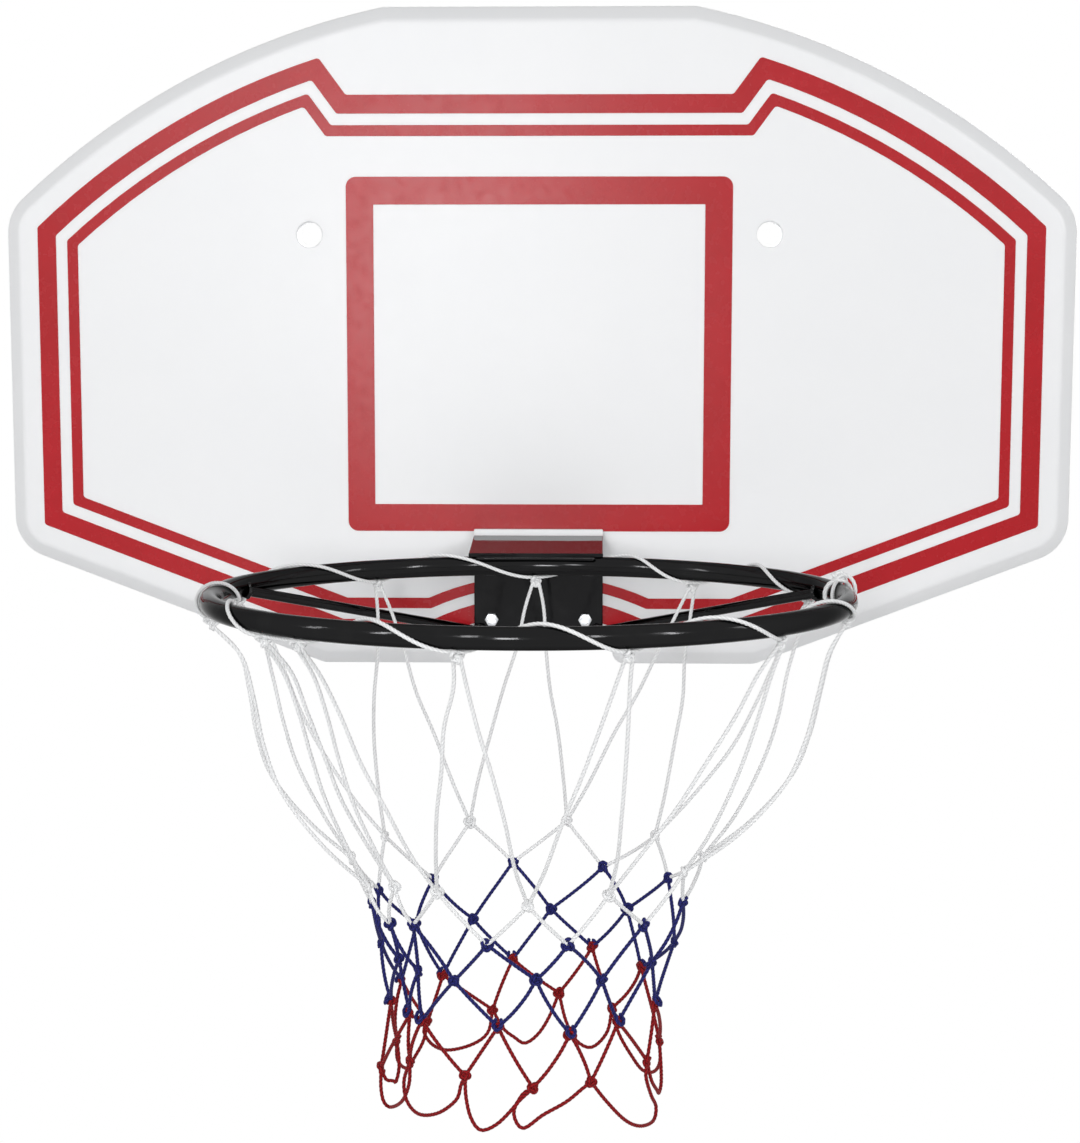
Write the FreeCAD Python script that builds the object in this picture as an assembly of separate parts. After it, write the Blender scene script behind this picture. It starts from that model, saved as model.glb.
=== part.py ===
"""Wall-hung basketball backboard: hollow moulded board, painted steel ring on a bolted bracket, knotted net.

Millimetres. The front faces -Y, +X is to the right of someone facing the board, +Z is up.
The origin is on the back plane, midway between the two wall holes.
"""
import FreeCAD, Part
import math
import os

V = FreeCAD.Vector

# Board
BOARD_WIDTH = 904.0
BOARD_HEIGHT = 554.0
BOARD_THICKNESS = 28.0
BOARD_WALL = 3.0
WALL_HOLES_BELOW_TOP = 188.5
WALL_HOLE_SPACING = 387.0
WALL_HOLE_DIAMETER = 21.0
SHOULDER_RADIUS = 648.0
CROWN_CUT_OFF = 13.4
SHOULDER_CORNER_RADIUS = 40.0
SIDE_FOOT_HEIGHT = 101.0
SIDE_FOOT_RADIUS = 36.0
BOTTOM_WIDTH = 372.0
BOTTOM_CORNER_RADIUS = 20.0
FRONT_BEVEL_WIDTH = 12.0
FRONT_BEVEL_DEPTH = 12.0
REAR_BEVEL = 4.0
NOTCH_WIDTH = 128.0
NOTCH_HEIGHT = 18.0
NOTCH_CORNER_RADIUS = 7.0
NOTCH_MOUTH_RADIUS = 9.0

# Moulded grooves in the back that pull the two walls together
GROOVE_SHARES = (0.26, 0.62, 0.79)
GROOVE_MOUTH_WIDTH = 24.0
GROOVE_FLOOR_WIDTH = 12.0
GROOVE_END_MARGIN = 50.0

# Red bands on the face
BAND_THICKNESS = 0.6
TARGET_WIDTH = 325.0
TARGET_HEIGHT = 298.0
TARGET_ABOVE_RING = 20.0
TARGET_BAND = 23.0
TARGET_CORNER_RADIUS = 8.5
BORDER_INSET = 28.0
OUTER_BAND = 15.5
BAND_GAP = 9.5
INNER_BAND = 9.0
BORDER_ABOVE_TARGET = 33.5
BORDER_STEP_HALF_WIDTH = 162.0
BORDER_PEAK_HALF_WIDTH = 184.5
BORDER_BOTTOM_INSET = 24.0
ARCH_RADIUS = 196.0
ARCH_HALF_WIDTH = 86.5

# Ring and its bracket
RING_BELOW_WALL_HOLES = 270.0
RING_INNER_DIAMETER = 450.0
RING_ROD = 16.0
RING_GAP_TO_FACE = 100.0
SHEET = 3.0
BRACKET_WIDTH = 110.0
PLATE_ABOVE_SHELF = 5.0
PLATE_BELOW_RING = 72.0
PLATE_CORNER_RADIUS = 6.0
SHELF_BEND_RADIUS = 4.0
SHELF_SLOPE_ANGLE = 4.0
BRACE_ROD = 8.0
BRACE_ANGLE = 14.0
BRACE_FOOT_SIDE_MARGIN = 6.0
BRACE_FOOT_MARGIN = 6.0
WELD_GAP = 0.1

# Fasteners that hold the bracket
BOLT_DIAMETER = 6.0
BOLT_SPACING_X = 80.0
BOLT_SPACING_Z = 45.0
BOLT_ROW_BELOW_RING = 10.5
BOLT_HOLE_DIAMETER = 7.0
HEX_ACROSS_FLATS = 10.0
BOLT_HEAD_HEIGHT = 4.0
BOLT_BEYOND_NUT = 2.0
NUT_HEIGHT = 5.0
WASHER_DIAMETER = 12.0
WASHER_HOLE = 6.4
WASHER_THICKNESS = 1.6
LOCK_WASHER_DIAMETER = 11.0
LOCK_WASHER_THICKNESS = 1.6
LOCK_WASHER_SPLIT = 1.5
POCKET_DIAMETER = 27.0
POCKET_FLOOR_DIAMETER = 23.0

# Net
CORD = 3.0
CORD_SIDES = 6
CORD_GAP = 0.3
ROW_DROPS = (197.0, 229.0, 262.0, 299.0, 338.0)
ROW_RADII = (132.0, 122.0, 111.0, 104.0, 100.0)
LOOP_DROP = 376.0
STRAND_BOW = 22.0
STRAND_SPAN_COUNT = 5
LOOP_SPAN_COUNT = 6
TAIL_SPAN_COUNT = 3
KNOT_HEIGHT = 7.0
KNOT_WAIST_RADIUS = 4.4
KNOT_END_RADIUS = 3.7
KNOT_CORD_OFFSET = 1.9
HEAD_ANGLES = (-72.0, -41.0, -9.0, 24.0, 57.0, 90.0, 123.0, 163.0, 195.0, 221.0, 230.0, 260.0)
LACING_GAP = 1.8
LACING_SHELF_CLEARANCE = 22.0
TIE_ANGLE = 9.0
BACK_ANGLE = 90.0
TIE_LENGTH = 11.0
TIE_RADIUS = 5.5
TAIL_LENGTHS = (26.0, 19.0)

OVERRUN = 5.0

# Planes and places worked out from the sizes above
HALF_WIDTH = BOARD_WIDTH / 2
TOP = WALL_HOLES_BELOW_TOP
BOTTOM = TOP - BOARD_HEIGHT
FACE = -BOARD_THICKNESS
SHOULDER_CENTRE = TOP + CROWN_CUT_OFF - SHOULDER_RADIUS
RING_Z = -RING_BELOW_WALL_HOLES
RING_Y = FACE - RING_GAP_TO_FACE - RING_INNER_DIAMETER / 2
ROD_RADIUS = RING_ROD / 2
RING_RADIUS = RING_INNER_DIAMETER / 2 + ROD_RADIUS
TARGET_BOTTOM = RING_Z + TARGET_ABOVE_RING
TARGET_TOP = TARGET_BOTTOM + TARGET_HEIGHT
BORDER_TOP = TARGET_TOP + BORDER_ABOVE_TARGET + INNER_BAND + BAND_GAP + OUTER_BAND
PLATE_BACK = FACE - BAND_THICKNESS
PLATE_FRONT = PLATE_BACK - SHEET
SHELF_SLOPE = math.radians(SHELF_SLOPE_ANGLE)
SHELF_SEAT_Y = RING_Y + math.sqrt(RING_RADIUS ** 2 - (BRACKET_WIDTH / 2) ** 2)
SHELF_SEAT_Z = RING_Z + ROD_RADIUS / math.cos(SHELF_SLOPE)
BEND_OUTER_RADIUS = SHELF_BEND_RADIUS + SHEET
BEND_Y = PLATE_FRONT - BEND_OUTER_RADIUS
SHELF_BACK_Z = SHELF_SEAT_Z + (BEND_Y - SHELF_SEAT_Y) * math.tan(SHELF_SLOPE)
BEND_Z = SHELF_BACK_Z + BEND_OUTER_RADIUS / math.cos(SHELF_SLOPE)
PLATE_TOP = BEND_Z - SHELF_BEND_RADIUS * math.cos(SHELF_SLOPE) + PLATE_ABOVE_SHELF
PLATE_BOTTOM = RING_Z - PLATE_BELOW_RING
POCKET_FLOOR = FACE + 2 * BOARD_WALL
CORD_RADIUS = CORD / 2
LACING_RADIUS = ROD_RADIUS + LACING_GAP + CORD_RADIUS
HEAD_KNOT_TOP = RING_Z - LACING_RADIUS - CORD_RADIUS - CORD_GAP
NET_COLUMNS = len(HEAD_ANGLES)


def line(start, end):
    """Straight edge."""
    return Part.LineSegment(start, end).toShape()


def arc_about(centre_x, centre_z, radius, angle_from, angle_to, y):
    """Arc in a plane of constant y; angles in degrees from +X towards +Z."""
    def at(angle):
        turn = math.radians(angle)
        return V(centre_x + radius * math.cos(turn), y, centre_z + radius * math.sin(turn))
    return Part.Arc(at(angle_from), at((angle_from + angle_to) / 2), at(angle_to)).toShape()


def angle_to(centre_x, centre_z, x, z):
    """Angle in degrees of a point seen from a centre."""
    return math.degrees(math.atan2(z - centre_z, x - centre_x))


def closed_by_mirror(right_half):
    """Closes the right half of an outline with its mirror image."""
    left_half = [edge.mirror(V(0, 0, 0), V(1, 0, 0)) for edge in right_half]
    return Part.Wire(Part.__sortEdges__(right_half + left_half))


def diagonal():
    """A point of the board's lower slanted edge, its direction and its inward normal, in x and z."""
    foot = (HALF_WIDTH, BOTTOM + SIDE_FOOT_HEIGHT)
    run = (BOTTOM_WIDTH / 2 - foot[0], BOTTOM - foot[1])
    length = math.hypot(*run)
    direction = (run[0] / length, run[1] / length)
    return foot, direction, (direction[1], -direction[0])


def on_diagonal(inset, x=None, z=None):
    """Where the slanted edge, moved inwards, crosses a given x or z."""
    foot, direction, normal = diagonal()
    start = (foot[0] + inset * normal[0], foot[1] + inset * normal[1])
    if x is not None:
        return x, start[1] + (x - start[0]) * direction[1] / direction[0]
    return start[0] + (z - start[1]) * direction[0] / direction[1], z


def outline_top(x):
    """Height of the board's upper edge at x."""
    return min(TOP, SHOULDER_CENTRE + math.sqrt(SHOULDER_RADIUS ** 2 - x ** 2))


def outline_bottom(x):
    """Height of the board's lower edge at x, without the notch."""
    return max(BOTTOM, on_diagonal(0, x=x)[1])


def board_outline(inset, y):
    """Board outline without the notch, moved inwards by inset, in the plane y."""
    shoulder = SHOULDER_RADIUS - inset
    side = HALF_WIDTH - inset
    top = TOP - inset
    low = BOTTOM + inset
    top_corner = math.sqrt(shoulder ** 2 - (top - SHOULDER_CENTRE) ** 2)
    normal = diagonal()[2]
    corner_x = HALF_WIDTH - SHOULDER_CORNER_RADIUS
    corner_z = SHOULDER_CENTRE + math.sqrt(
        (SHOULDER_RADIUS - SHOULDER_CORNER_RADIUS) ** 2 - corner_x ** 2)
    foot_x, foot_z = on_diagonal(SIDE_FOOT_RADIUS, x=HALF_WIDTH - SIDE_FOOT_RADIUS)
    toe_x, toe_z = on_diagonal(BOTTOM_CORNER_RADIUS, z=BOTTOM + BOTTOM_CORNER_RADIUS)
    slant = math.degrees(math.atan2(-normal[1], -normal[0]))
    corner_angle = angle_to(0, SHOULDER_CENTRE, corner_x, corner_z)
    top_angle = angle_to(0, SHOULDER_CENTRE, top_corner, top)
    foot_end = V(foot_x - (SIDE_FOOT_RADIUS - inset) * normal[0], y,
                 foot_z - (SIDE_FOOT_RADIUS - inset) * normal[1])
    toe_start = V(toe_x - (BOTTOM_CORNER_RADIUS - inset) * normal[0], y,
                  toe_z - (BOTTOM_CORNER_RADIUS - inset) * normal[1])
    right_half = [
        line(V(0, y, top), V(top_corner, y, top)),
        arc_about(0, SHOULDER_CENTRE, shoulder, top_angle, corner_angle, y),
        arc_about(corner_x, corner_z, SHOULDER_CORNER_RADIUS - inset, corner_angle, 0, y),
        line(V(side, y, corner_z), V(side, y, foot_z)),
        arc_about(foot_x, foot_z, SIDE_FOOT_RADIUS - inset, 0, slant, y),
        line(foot_end, toe_start),
        arc_about(toe_x, toe_z, BOTTOM_CORNER_RADIUS - inset, slant, -90, y),
        line(V(toe_x, y, low), V(0, y, low)),
    ]
    return closed_by_mirror(right_half)


def moulding(inset):
    """Solid of the board's outer form, moved inwards on every side by inset."""
    front = FACE + inset
    sections = [
        board_outline(inset + FRONT_BEVEL_WIDTH, front),
        board_outline(inset, front + FRONT_BEVEL_DEPTH),
        board_outline(inset, -inset - REAR_BEVEL),
        board_outline(inset + REAR_BEVEL, -inset),
    ]
    return Part.makeLoft(sections, True, True)


def along_y(radius, x, z, y_from, y_to):
    """Cylinder along Y."""
    return Part.makeCylinder(radius, y_to - y_from, V(x, y_from, z), V(0, 1, 0))


def groove_outline(x, z_low, z_high, width, y):
    """Upright rectangle in the plane y."""
    half = width / 2
    corners = [V(x - half, y, z_low), V(x + half, y, z_low), V(x + half, y, z_high), V(x - half, y, z_high)]
    return Part.makePolygon(corners + corners[:1])


def grooves(extra):
    """Tapered grooves in the back, grown on every side by extra."""
    draft = (GROOVE_MOUTH_WIDTH - GROOVE_FLOOR_WIDTH) / 2
    cutters = []
    for x in [side * share * HALF_WIDTH for side in (-1, 1) for share in GROOVE_SHARES]:
        low = outline_bottom(abs(x)) + GROOVE_END_MARGIN - extra
        high = outline_top(x) - GROOVE_END_MARGIN + extra
        floor = groove_outline(x, low + draft, high - draft, GROOVE_FLOOR_WIDTH + 2 * extra, POCKET_FLOOR)
        mouth = groove_outline(x, low, high, GROOVE_MOUTH_WIDTH + 2 * extra, 0)
        cutters.append(Part.makeLoft([floor, mouth], True, True))
    return cutters


def bolt_places():
    """The four bolt axes, as x and z."""
    upper = RING_Z - BOLT_ROW_BELOW_RING
    return [(side * BOLT_SPACING_X / 2, z) for z in (upper, upper - BOLT_SPACING_Z) for side in (-1, 1)]


def bolt_holes(y_from, y_to):
    """Cutters for the clearance holes of the four bolts."""
    return [along_y(BOLT_HOLE_DIAMETER / 2, x, z, y_from - OVERRUN, y_to + OVERRUN) for x, z in bolt_places()]


def pockets(extra):
    """Conical pockets in the back, one behind each bolt, grown by extra."""
    return [Part.makeCone(POCKET_FLOOR_DIAMETER / 2 + extra, POCKET_DIAMETER / 2 + extra, -POCKET_FLOOR,
                          V(x, POCKET_FLOOR, z), V(0, 1, 0)) for x, z in bolt_places()]


def notch(extra):
    """Cutter for the notch in the bottom edge, grown by extra; the notch's mouth is rounded."""
    y = FACE - OVERRUN
    half = NOTCH_WIDTH / 2 + extra
    top = BOTTOM + NOTCH_HEIGHT + extra
    corner = NOTCH_CORNER_RADIUS + extra
    mouth = NOTCH_MOUTH_RADIUS - extra
    right_half = [
        line(V(0, y, top), V(half - corner, y, top)),
        arc_about(half - corner, top - corner, corner, 90, 0, y),
        line(V(half, y, top - corner), V(half, y, BOTTOM + extra + mouth)),
        arc_about(half + mouth, BOTTOM + extra + mouth, mouth, 180, 270, y),
        line(V(half + mouth, y, BOTTOM + extra), V(half + mouth, y, BOTTOM - OVERRUN)),
        line(V(half + mouth, y, BOTTOM - OVERRUN), V(0, y, BOTTOM - OVERRUN)),
    ]
    return Part.Face(closed_by_mirror(right_half)).extrude(V(0, BOARD_THICKNESS + 2 * OVERRUN, 0))


def wall_hole_places():
    """The two wall hole axes, as x and z."""
    return [(side * WALL_HOLE_SPACING / 2, 0) for side in (-1, 1)]


def board_shell():
    """Hollow moulded board: two walls that meet at the grooves, the pockets and the holes."""
    hollow = moulding(BOARD_WALL)
    posts = [along_y(WALL_HOLE_DIAMETER / 2 + BOARD_WALL, x, z, FACE, 0) for x, z in wall_hole_places()]
    hollow = hollow.cut(grooves(BOARD_WALL) + pockets(BOARD_WALL) + posts + [notch(BOARD_WALL)])
    holes = [along_y(WALL_HOLE_DIAMETER / 2, x, z, FACE - OVERRUN, OVERRUN) for x, z in wall_hole_places()]
    return moulding(0).cut([hollow, notch(0)] + grooves(0) + pockets(0) + holes + bolt_holes(FACE, 0))


def band(outer, inner):
    """Thin raised band on the face, between two closed outlines drawn on the face, drilled for the bolts."""
    flat = Part.Face(outer).cut(Part.Face(inner)).Faces[0]
    return flat.extrude(V(0, -BAND_THICKNESS, 0)).cut(bolt_holes(PLATE_BACK, FACE))


def target_outline(inset, radius):
    """Target rectangle, moved inwards by inset; a radius of zero leaves the corners sharp."""
    half = TARGET_WIDTH / 2 - inset
    low = TARGET_BOTTOM + inset
    high = TARGET_TOP - inset
    right_half = [line(V(0, FACE, high), V(half - radius, FACE, high))]
    if radius > 0:
        right_half.append(arc_about(half - radius, high - radius, radius, 90, 0, FACE))
    right_half.append(line(V(half, FACE, high - radius), V(half, FACE, low + radius)))
    if radius > 0:
        right_half.append(arc_about(half - radius, low + radius, radius, 0, -90, FACE))
    right_half.append(line(V(half - radius, FACE, low), V(0, FACE, low)))
    return closed_by_mirror(right_half)


def border_outline(inward):
    """Outer edge of the border, moved inwards: shoulders, sides, slants, a stepped top and an arched foot."""
    inset = BORDER_INSET + inward
    shoulder = SHOULDER_RADIUS - inset
    side = HALF_WIDTH - inset
    flat_top = BORDER_TOP - inward
    flat_low = BOTTOM + BORDER_BOTTOM_INSET + inward
    peak_z = SHOULDER_CENTRE + math.sqrt((SHOULDER_RADIUS - BORDER_INSET) ** 2 - BORDER_PEAK_HALF_WIDTH ** 2)
    rise = peak_z - BORDER_TOP
    run = BORDER_PEAK_HALF_WIDTH - BORDER_STEP_HALF_WIDTH
    length = math.hypot(rise, run)
    ramp_x = BORDER_STEP_HALF_WIDTH + inward * rise / length
    ramp_z = BORDER_TOP - inward * run / length
    step_x = ramp_x + (flat_top - ramp_z) * run / rise
    # The ramp meets the shoulder: distance along the ramp at which it reaches the shoulder's circle
    along = (run / length, rise / length)
    from_centre = (ramp_x, ramp_z - SHOULDER_CENTRE)
    half_b = along[0] * from_centre[0] + along[1] * from_centre[1]
    inside = shoulder ** 2 - from_centre[0] ** 2 - from_centre[1] ** 2
    reach = -half_b + math.copysign(math.sqrt(half_b ** 2 + inside), inside)
    peak = (ramp_x + reach * along[0], ramp_z + reach * along[1])
    corner = (side, SHOULDER_CENTRE + math.sqrt(shoulder ** 2 - side ** 2))
    foot = on_diagonal(inset, x=side)
    toe = on_diagonal(inset, z=flat_low)
    # The arch over the bracket's foot, all of whose edges have one centre
    arch = ARCH_RADIUS + inward
    arch_z = BOTTOM + BORDER_BOTTOM_INSET - math.sqrt(ARCH_RADIUS ** 2 - ARCH_HALF_WIDTH ** 2)
    arch_x = math.sqrt(arch ** 2 - (flat_low - arch_z) ** 2)
    points = [V(step_x, FACE, flat_top), V(peak[0], FACE, peak[1]), V(corner[0], FACE, corner[1]),
              V(foot[0], FACE, foot[1]), V(toe[0], FACE, toe[1])]
    right_half = [
        line(V(0, FACE, flat_top), points[0]),
        line(points[0], points[1]),
        arc_about(0, SHOULDER_CENTRE, shoulder, angle_to(0, SHOULDER_CENTRE, *peak),
                  angle_to(0, SHOULDER_CENTRE, *corner), FACE),
        line(points[2], points[3]),
        line(points[3], points[4]),
        line(points[4], V(arch_x, FACE, flat_low)),
        arc_about(0, arch_z, arch, angle_to(0, arch_z, arch_x, flat_low), 90, FACE),
    ]
    return closed_by_mirror(right_half)


def bracket_plate():
    """Flat steel plate on the face of the board, with the four bolt holes."""
    height = PLATE_TOP - PLATE_BOTTOM
    plate = Part.makeBox(BRACKET_WIDTH, SHEET, height, V(-BRACKET_WIDTH / 2, PLATE_FRONT, PLATE_BOTTOM))
    corners = [edge for edge in plate.Edges
               if abs(edge.tangentAt(edge.FirstParameter).y) > math.cos(math.pi / 4)]
    plate = plate.makeFillet(PLATE_CORNER_RADIUS, corners)
    return plate.cut(bolt_holes(PLATE_FRONT, PLATE_BACK))


def shelf():
    """Bent steel shelf that slopes down from the plate to the ring, with its back edge turned up."""
    x = -BRACKET_WIDTH / 2
    front = RING_Y + RING_RADIUS - ROD_RADIUS
    front_z = SHELF_SEAT_Z + (front - SHELF_SEAT_Y) * math.tan(SHELF_SLOPE)
    thickness = V(0, -SHEET * math.sin(SHELF_SLOPE), SHEET * math.cos(SHELF_SLOPE))

    def on_bend(radius, turn):
        return V(x, BEND_Y + radius * math.cos(turn), BEND_Z + radius * math.sin(turn))

    flat_end = SHELF_SLOPE - math.pi / 2
    below = [on_bend(BEND_OUTER_RADIUS, turn) for turn in (flat_end, flat_end / 2, 0)]
    above = [on_bend(SHELF_BEND_RADIUS, turn) for turn in (0, flat_end / 2, flat_end)]
    nose_below = V(x, front, front_z)
    nose_above = nose_below + thickness
    tip_back = V(x, below[-1].y, PLATE_TOP)
    tip_front = V(x, above[0].y, PLATE_TOP)
    section = [
        line(nose_below, below[0]),
        Part.Arc(*below).toShape(),
        line(below[-1], tip_back),
        line(tip_back, tip_front),
        line(tip_front, above[0]),
        Part.Arc(*above).toShape(),
        line(above[-1], nose_above),
        line(nose_above, nose_below),
    ]
    return Part.Face(Part.Wire(section)).extrude(V(BRACKET_WIDTH, 0, 0))


def ring_torus(radius):
    """Torus on the ring's centre line."""
    return Part.makeTorus(RING_RADIUS, radius, V(0, RING_Y, RING_Z), V(0, 0, 1))


def brace(side):
    """Round brace from the ring's side down to the plate's lower corner, cut to meet both."""
    turn = math.radians(BRACE_ANGLE)
    start = V(side * RING_RADIUS * math.cos(turn), RING_Y + RING_RADIUS * math.sin(turn), RING_Z)
    foot_x = BRACKET_WIDTH / 2 - BRACE_FOOT_SIDE_MARGIN
    foot = V(side * foot_x, PLATE_FRONT, PLATE_BOTTOM + BRACE_FOOT_MARGIN)
    run = foot - start
    rod = Part.makeCylinder(BRACE_ROD / 2, run.Length + BRACE_ROD, start, run)
    behind = Part.makeBox(BOARD_WIDTH, BOARD_THICKNESS, BOARD_HEIGHT, V(-HALF_WIDTH, PLATE_FRONT, BOTTOM))
    return rod.cut([behind, ring_torus(ROD_RADIUS + WELD_GAP)])


def hexagon_prism(across_flats, x, z, y_from, height):
    """Hexagonal prism along +Y."""
    radius = across_flats / math.sqrt(3)
    turns = [math.radians(60 * i) for i in range(6)]
    corners = [V(x + radius * math.cos(turn), y_from, z + radius * math.sin(turn)) for turn in turns]
    return Part.Face(Part.makePolygon(corners + corners[:1])).extrude(V(0, height, 0))


def washer_stack():
    """Planes, from the pocket floor backwards, of the washer, the lock washer, the nut and the bolt's end."""
    washer = POCKET_FLOOR
    lock = washer + WASHER_THICKNESS
    nut = lock + LOCK_WASHER_THICKNESS
    return washer, lock, nut, nut + NUT_HEIGHT + BOLT_BEYOND_NUT


def bolt(x, z):
    """Hexagon bolt with its head on the plate."""
    head = hexagon_prism(HEX_ACROSS_FLATS, x, z, PLATE_FRONT - BOLT_HEAD_HEIGHT, BOLT_HEAD_HEIGHT)
    return head.fuse(along_y(BOLT_DIAMETER / 2, x, z, PLATE_FRONT, washer_stack()[3]))


def washer(x, z):
    """Flat washer on the pocket's floor."""
    start = washer_stack()[0]
    outer = along_y(WASHER_DIAMETER / 2, x, z, start, start + WASHER_THICKNESS)
    return outer.cut(along_y(WASHER_HOLE / 2, x, z, start - OVERRUN, start + OVERRUN))


def lock_washer(x, z):
    """Split spring washer."""
    start = washer_stack()[1]
    outer = along_y(LOCK_WASHER_DIAMETER / 2, x, z, start, start + LOCK_WASHER_THICKNESS)
    split = Part.makeBox(LOCK_WASHER_SPLIT, LOCK_WASHER_THICKNESS, LOCK_WASHER_DIAMETER,
                         V(x - LOCK_WASHER_SPLIT / 2, start, z))
    return outer.cut([along_y(WASHER_HOLE / 2, x, z, start - OVERRUN, start + OVERRUN), split])


def nut(x, z):
    """Hexagon nut; its bore seats on the bolt."""
    start = washer_stack()[2]
    body = hexagon_prism(HEX_ACROSS_FLATS, x, z, start, NUT_HEIGHT)
    return body.cut(along_y(BOLT_DIAMETER / 2, x, z, start - OVERRUN, start + NUT_HEIGHT + OVERRUN))


def fasteners(make):
    """One fastener at each bolt place."""
    return Part.makeCompound([make(x, z) for x, z in bolt_places()])


def ring_point(angle, radius, z):
    """Point at an angle, in degrees from +X, about the ring's upright axis."""
    turn = math.radians(angle)
    return V(radius * math.cos(turn), RING_Y + radius * math.sin(turn), z)


def ring_tangent(angle):
    """Direction of growing angle about the ring's axis."""
    turn = math.radians(angle)
    return V(-math.sin(turn), math.cos(turn), 0)


def polygon_across(centre, axis, radius, sides, reference=None):
    """Regular polygon about a point, square to an axis, with its first corner square to a reference."""
    normal = V(axis).normalize()
    if reference is None:
        reference = V(1, 0, 0) if abs(normal.x) < math.cos(math.pi / 4) else V(0, 0, 1)
    aside = normal.cross(reference).normalize()
    upward = normal.cross(aside)
    corners = []
    for i in range(sides):
        turn = 2 * math.pi * i / sides
        corners.append(centre + aside * (radius * math.cos(turn)) + upward * (radius * math.sin(turn)))
    return Part.makePolygon(corners + corners[:1])


def knot(centre, axis, length, waist, end):
    """Barrel of a knot about an axis, with flat ends."""
    step = V(axis).normalize() * (length / 2)
    sections = [polygon_across(centre - step, axis, end, CORD_SIDES),
                polygon_across(centre, axis, waist, CORD_SIDES),
                polygon_across(centre + step, axis, end, CORD_SIDES)]
    return Part.makeLoft(sections, True, True)


def upright_knot(angle, radius, z):
    """Net knot with its middle at a given place."""
    return knot(ring_point(angle, radius, z), V(0, 0, 1), KNOT_HEIGHT, KNOT_WAIST_RADIUS, KNOT_END_RADIUS)


def wound_cord(edges):
    """Cord of even section along tangent arcs."""
    path = Part.Wire(edges)
    first = path.Edges[0]
    start = first.valueAt(first.FirstParameter)
    profile = polygon_across(start, first.tangentAt(first.FirstParameter), CORD_RADIUS, CORD_SIDES)
    return path.makePipeShell([profile], True, False)


def sections_along(edge, spans, reference):
    """Sections of a cord at equal steps along an edge."""
    step = (edge.LastParameter - edge.FirstParameter) / spans
    places = [edge.FirstParameter + step * i for i in range(spans + 1)]
    return [polygon_across(edge.valueAt(at), edge.tangentAt(at), CORD_RADIUS, CORD_SIDES, reference)
            for at in places]


def bent_cord(start, middle, end, spans, level_ends):
    """Cord along one arc through three points, in straight spans; level ends lie flat on the knots."""
    reference = (middle - start).cross(end - middle)
    arc = Part.Arc(start, middle, end).toShape()
    sections = sections_along(arc, spans, reference)
    if level_ends:
        sections[0] = polygon_across(start, V(0, 0, -1), CORD_RADIUS, CORD_SIDES, reference)
        sections[-1] = polygon_across(end, V(0, 0, -1), CORD_RADIUS, CORD_SIDES, reference)
    return Part.makeLoft(sections, True, True)


def straight_cord(start, end):
    """Straight cord whose two ends are level, so that they lie flat on the knots."""
    return Part.Face(polygon_across(start, V(0, 0, 1), CORD_RADIUS, CORD_SIDES)).extrude(end - start)


def head_angle(column):
    """Angle of a head knot about the ring, counted on past a full turn."""
    turns, place = divmod(column, NET_COLUMNS)
    return HEAD_ANGLES[place] + 360 * turns


def row_angle(row, column):
    """Angle of a knot, which hangs midway between the two knots above it."""
    if row == 0:
        return (head_angle(column - 1) + head_angle(column)) / 2
    left = column if row % 2 else column - 1
    return (row_angle(row - 1, left) + row_angle(row - 1, left + 1)) / 2


def cord_seat(row, column, side, level):
    """Where a cord meets a knot: beside the knot's axis, on its top or its bottom."""
    angle = row_angle(row, column)
    place = ring_point(angle, ROW_RADII[row], RING_Z - ROW_DROPS[row] + level * KNOT_HEIGHT / 2)
    return place + ring_tangent(angle) * (side * KNOT_CORD_OFFSET)


def row_knots(row):
    """The knots of one row."""
    return Part.makeCompound([upright_knot(row_angle(row, column), ROW_RADII[row], RING_Z - ROW_DROPS[row])
                              for column in range(NET_COLUMNS)])


def row_cords(row):
    """The cords from one row of knots to the next, two from each knot."""
    cords = []
    for column in range(NET_COLUMNS):
        for side in (-1, 1):
            # The next row's knot half a column to that side
            target = column + (0 if row % 2 == 0 else 1) + (0 if side > 0 else -1)
            seat = cord_seat(row, column, side, -1)
            cords.append(straight_cord(seat, cord_seat(row + 1, target, -side, 1)))
    return Part.makeCompound(cords)


def end_loops():
    """The loops that hang between the last row's knots."""
    row = len(ROW_DROPS) - 1
    loops = []
    for column in range(NET_COLUMNS):
        left = cord_seat(row, column, 1, -1)
        right = cord_seat(row, column + 1, -1, -1)
        half = (right - left) * 0.5
        down = V(0, 0, -half.Length)
        leg = V(0, 0, RING_Z - LOOP_DROP + CORD_RADIUS + half.Length - left.z)
        foot = Part.Arc(left + leg, left + leg + half + down, right + leg).toShape()
        reference = half.cross(down)
        sections = [polygon_across(left, down, CORD_RADIUS, CORD_SIDES, reference)]
        sections += sections_along(foot, LOOP_SPAN_COUNT, reference)
        sections.append(polygon_across(right, -down, CORD_RADIUS, CORD_SIDES, reference))
        loops.append(Part.makeLoft(sections, True, True))
    return Part.makeCompound(loops)


def head_knots():
    """The knots that hang the net from the lacing, under the ring's rod."""
    return Part.makeCompound([upright_knot(angle, RING_RADIUS, HEAD_KNOT_TOP - KNOT_HEIGHT / 2)
                              for angle in HEAD_ANGLES])


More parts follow.
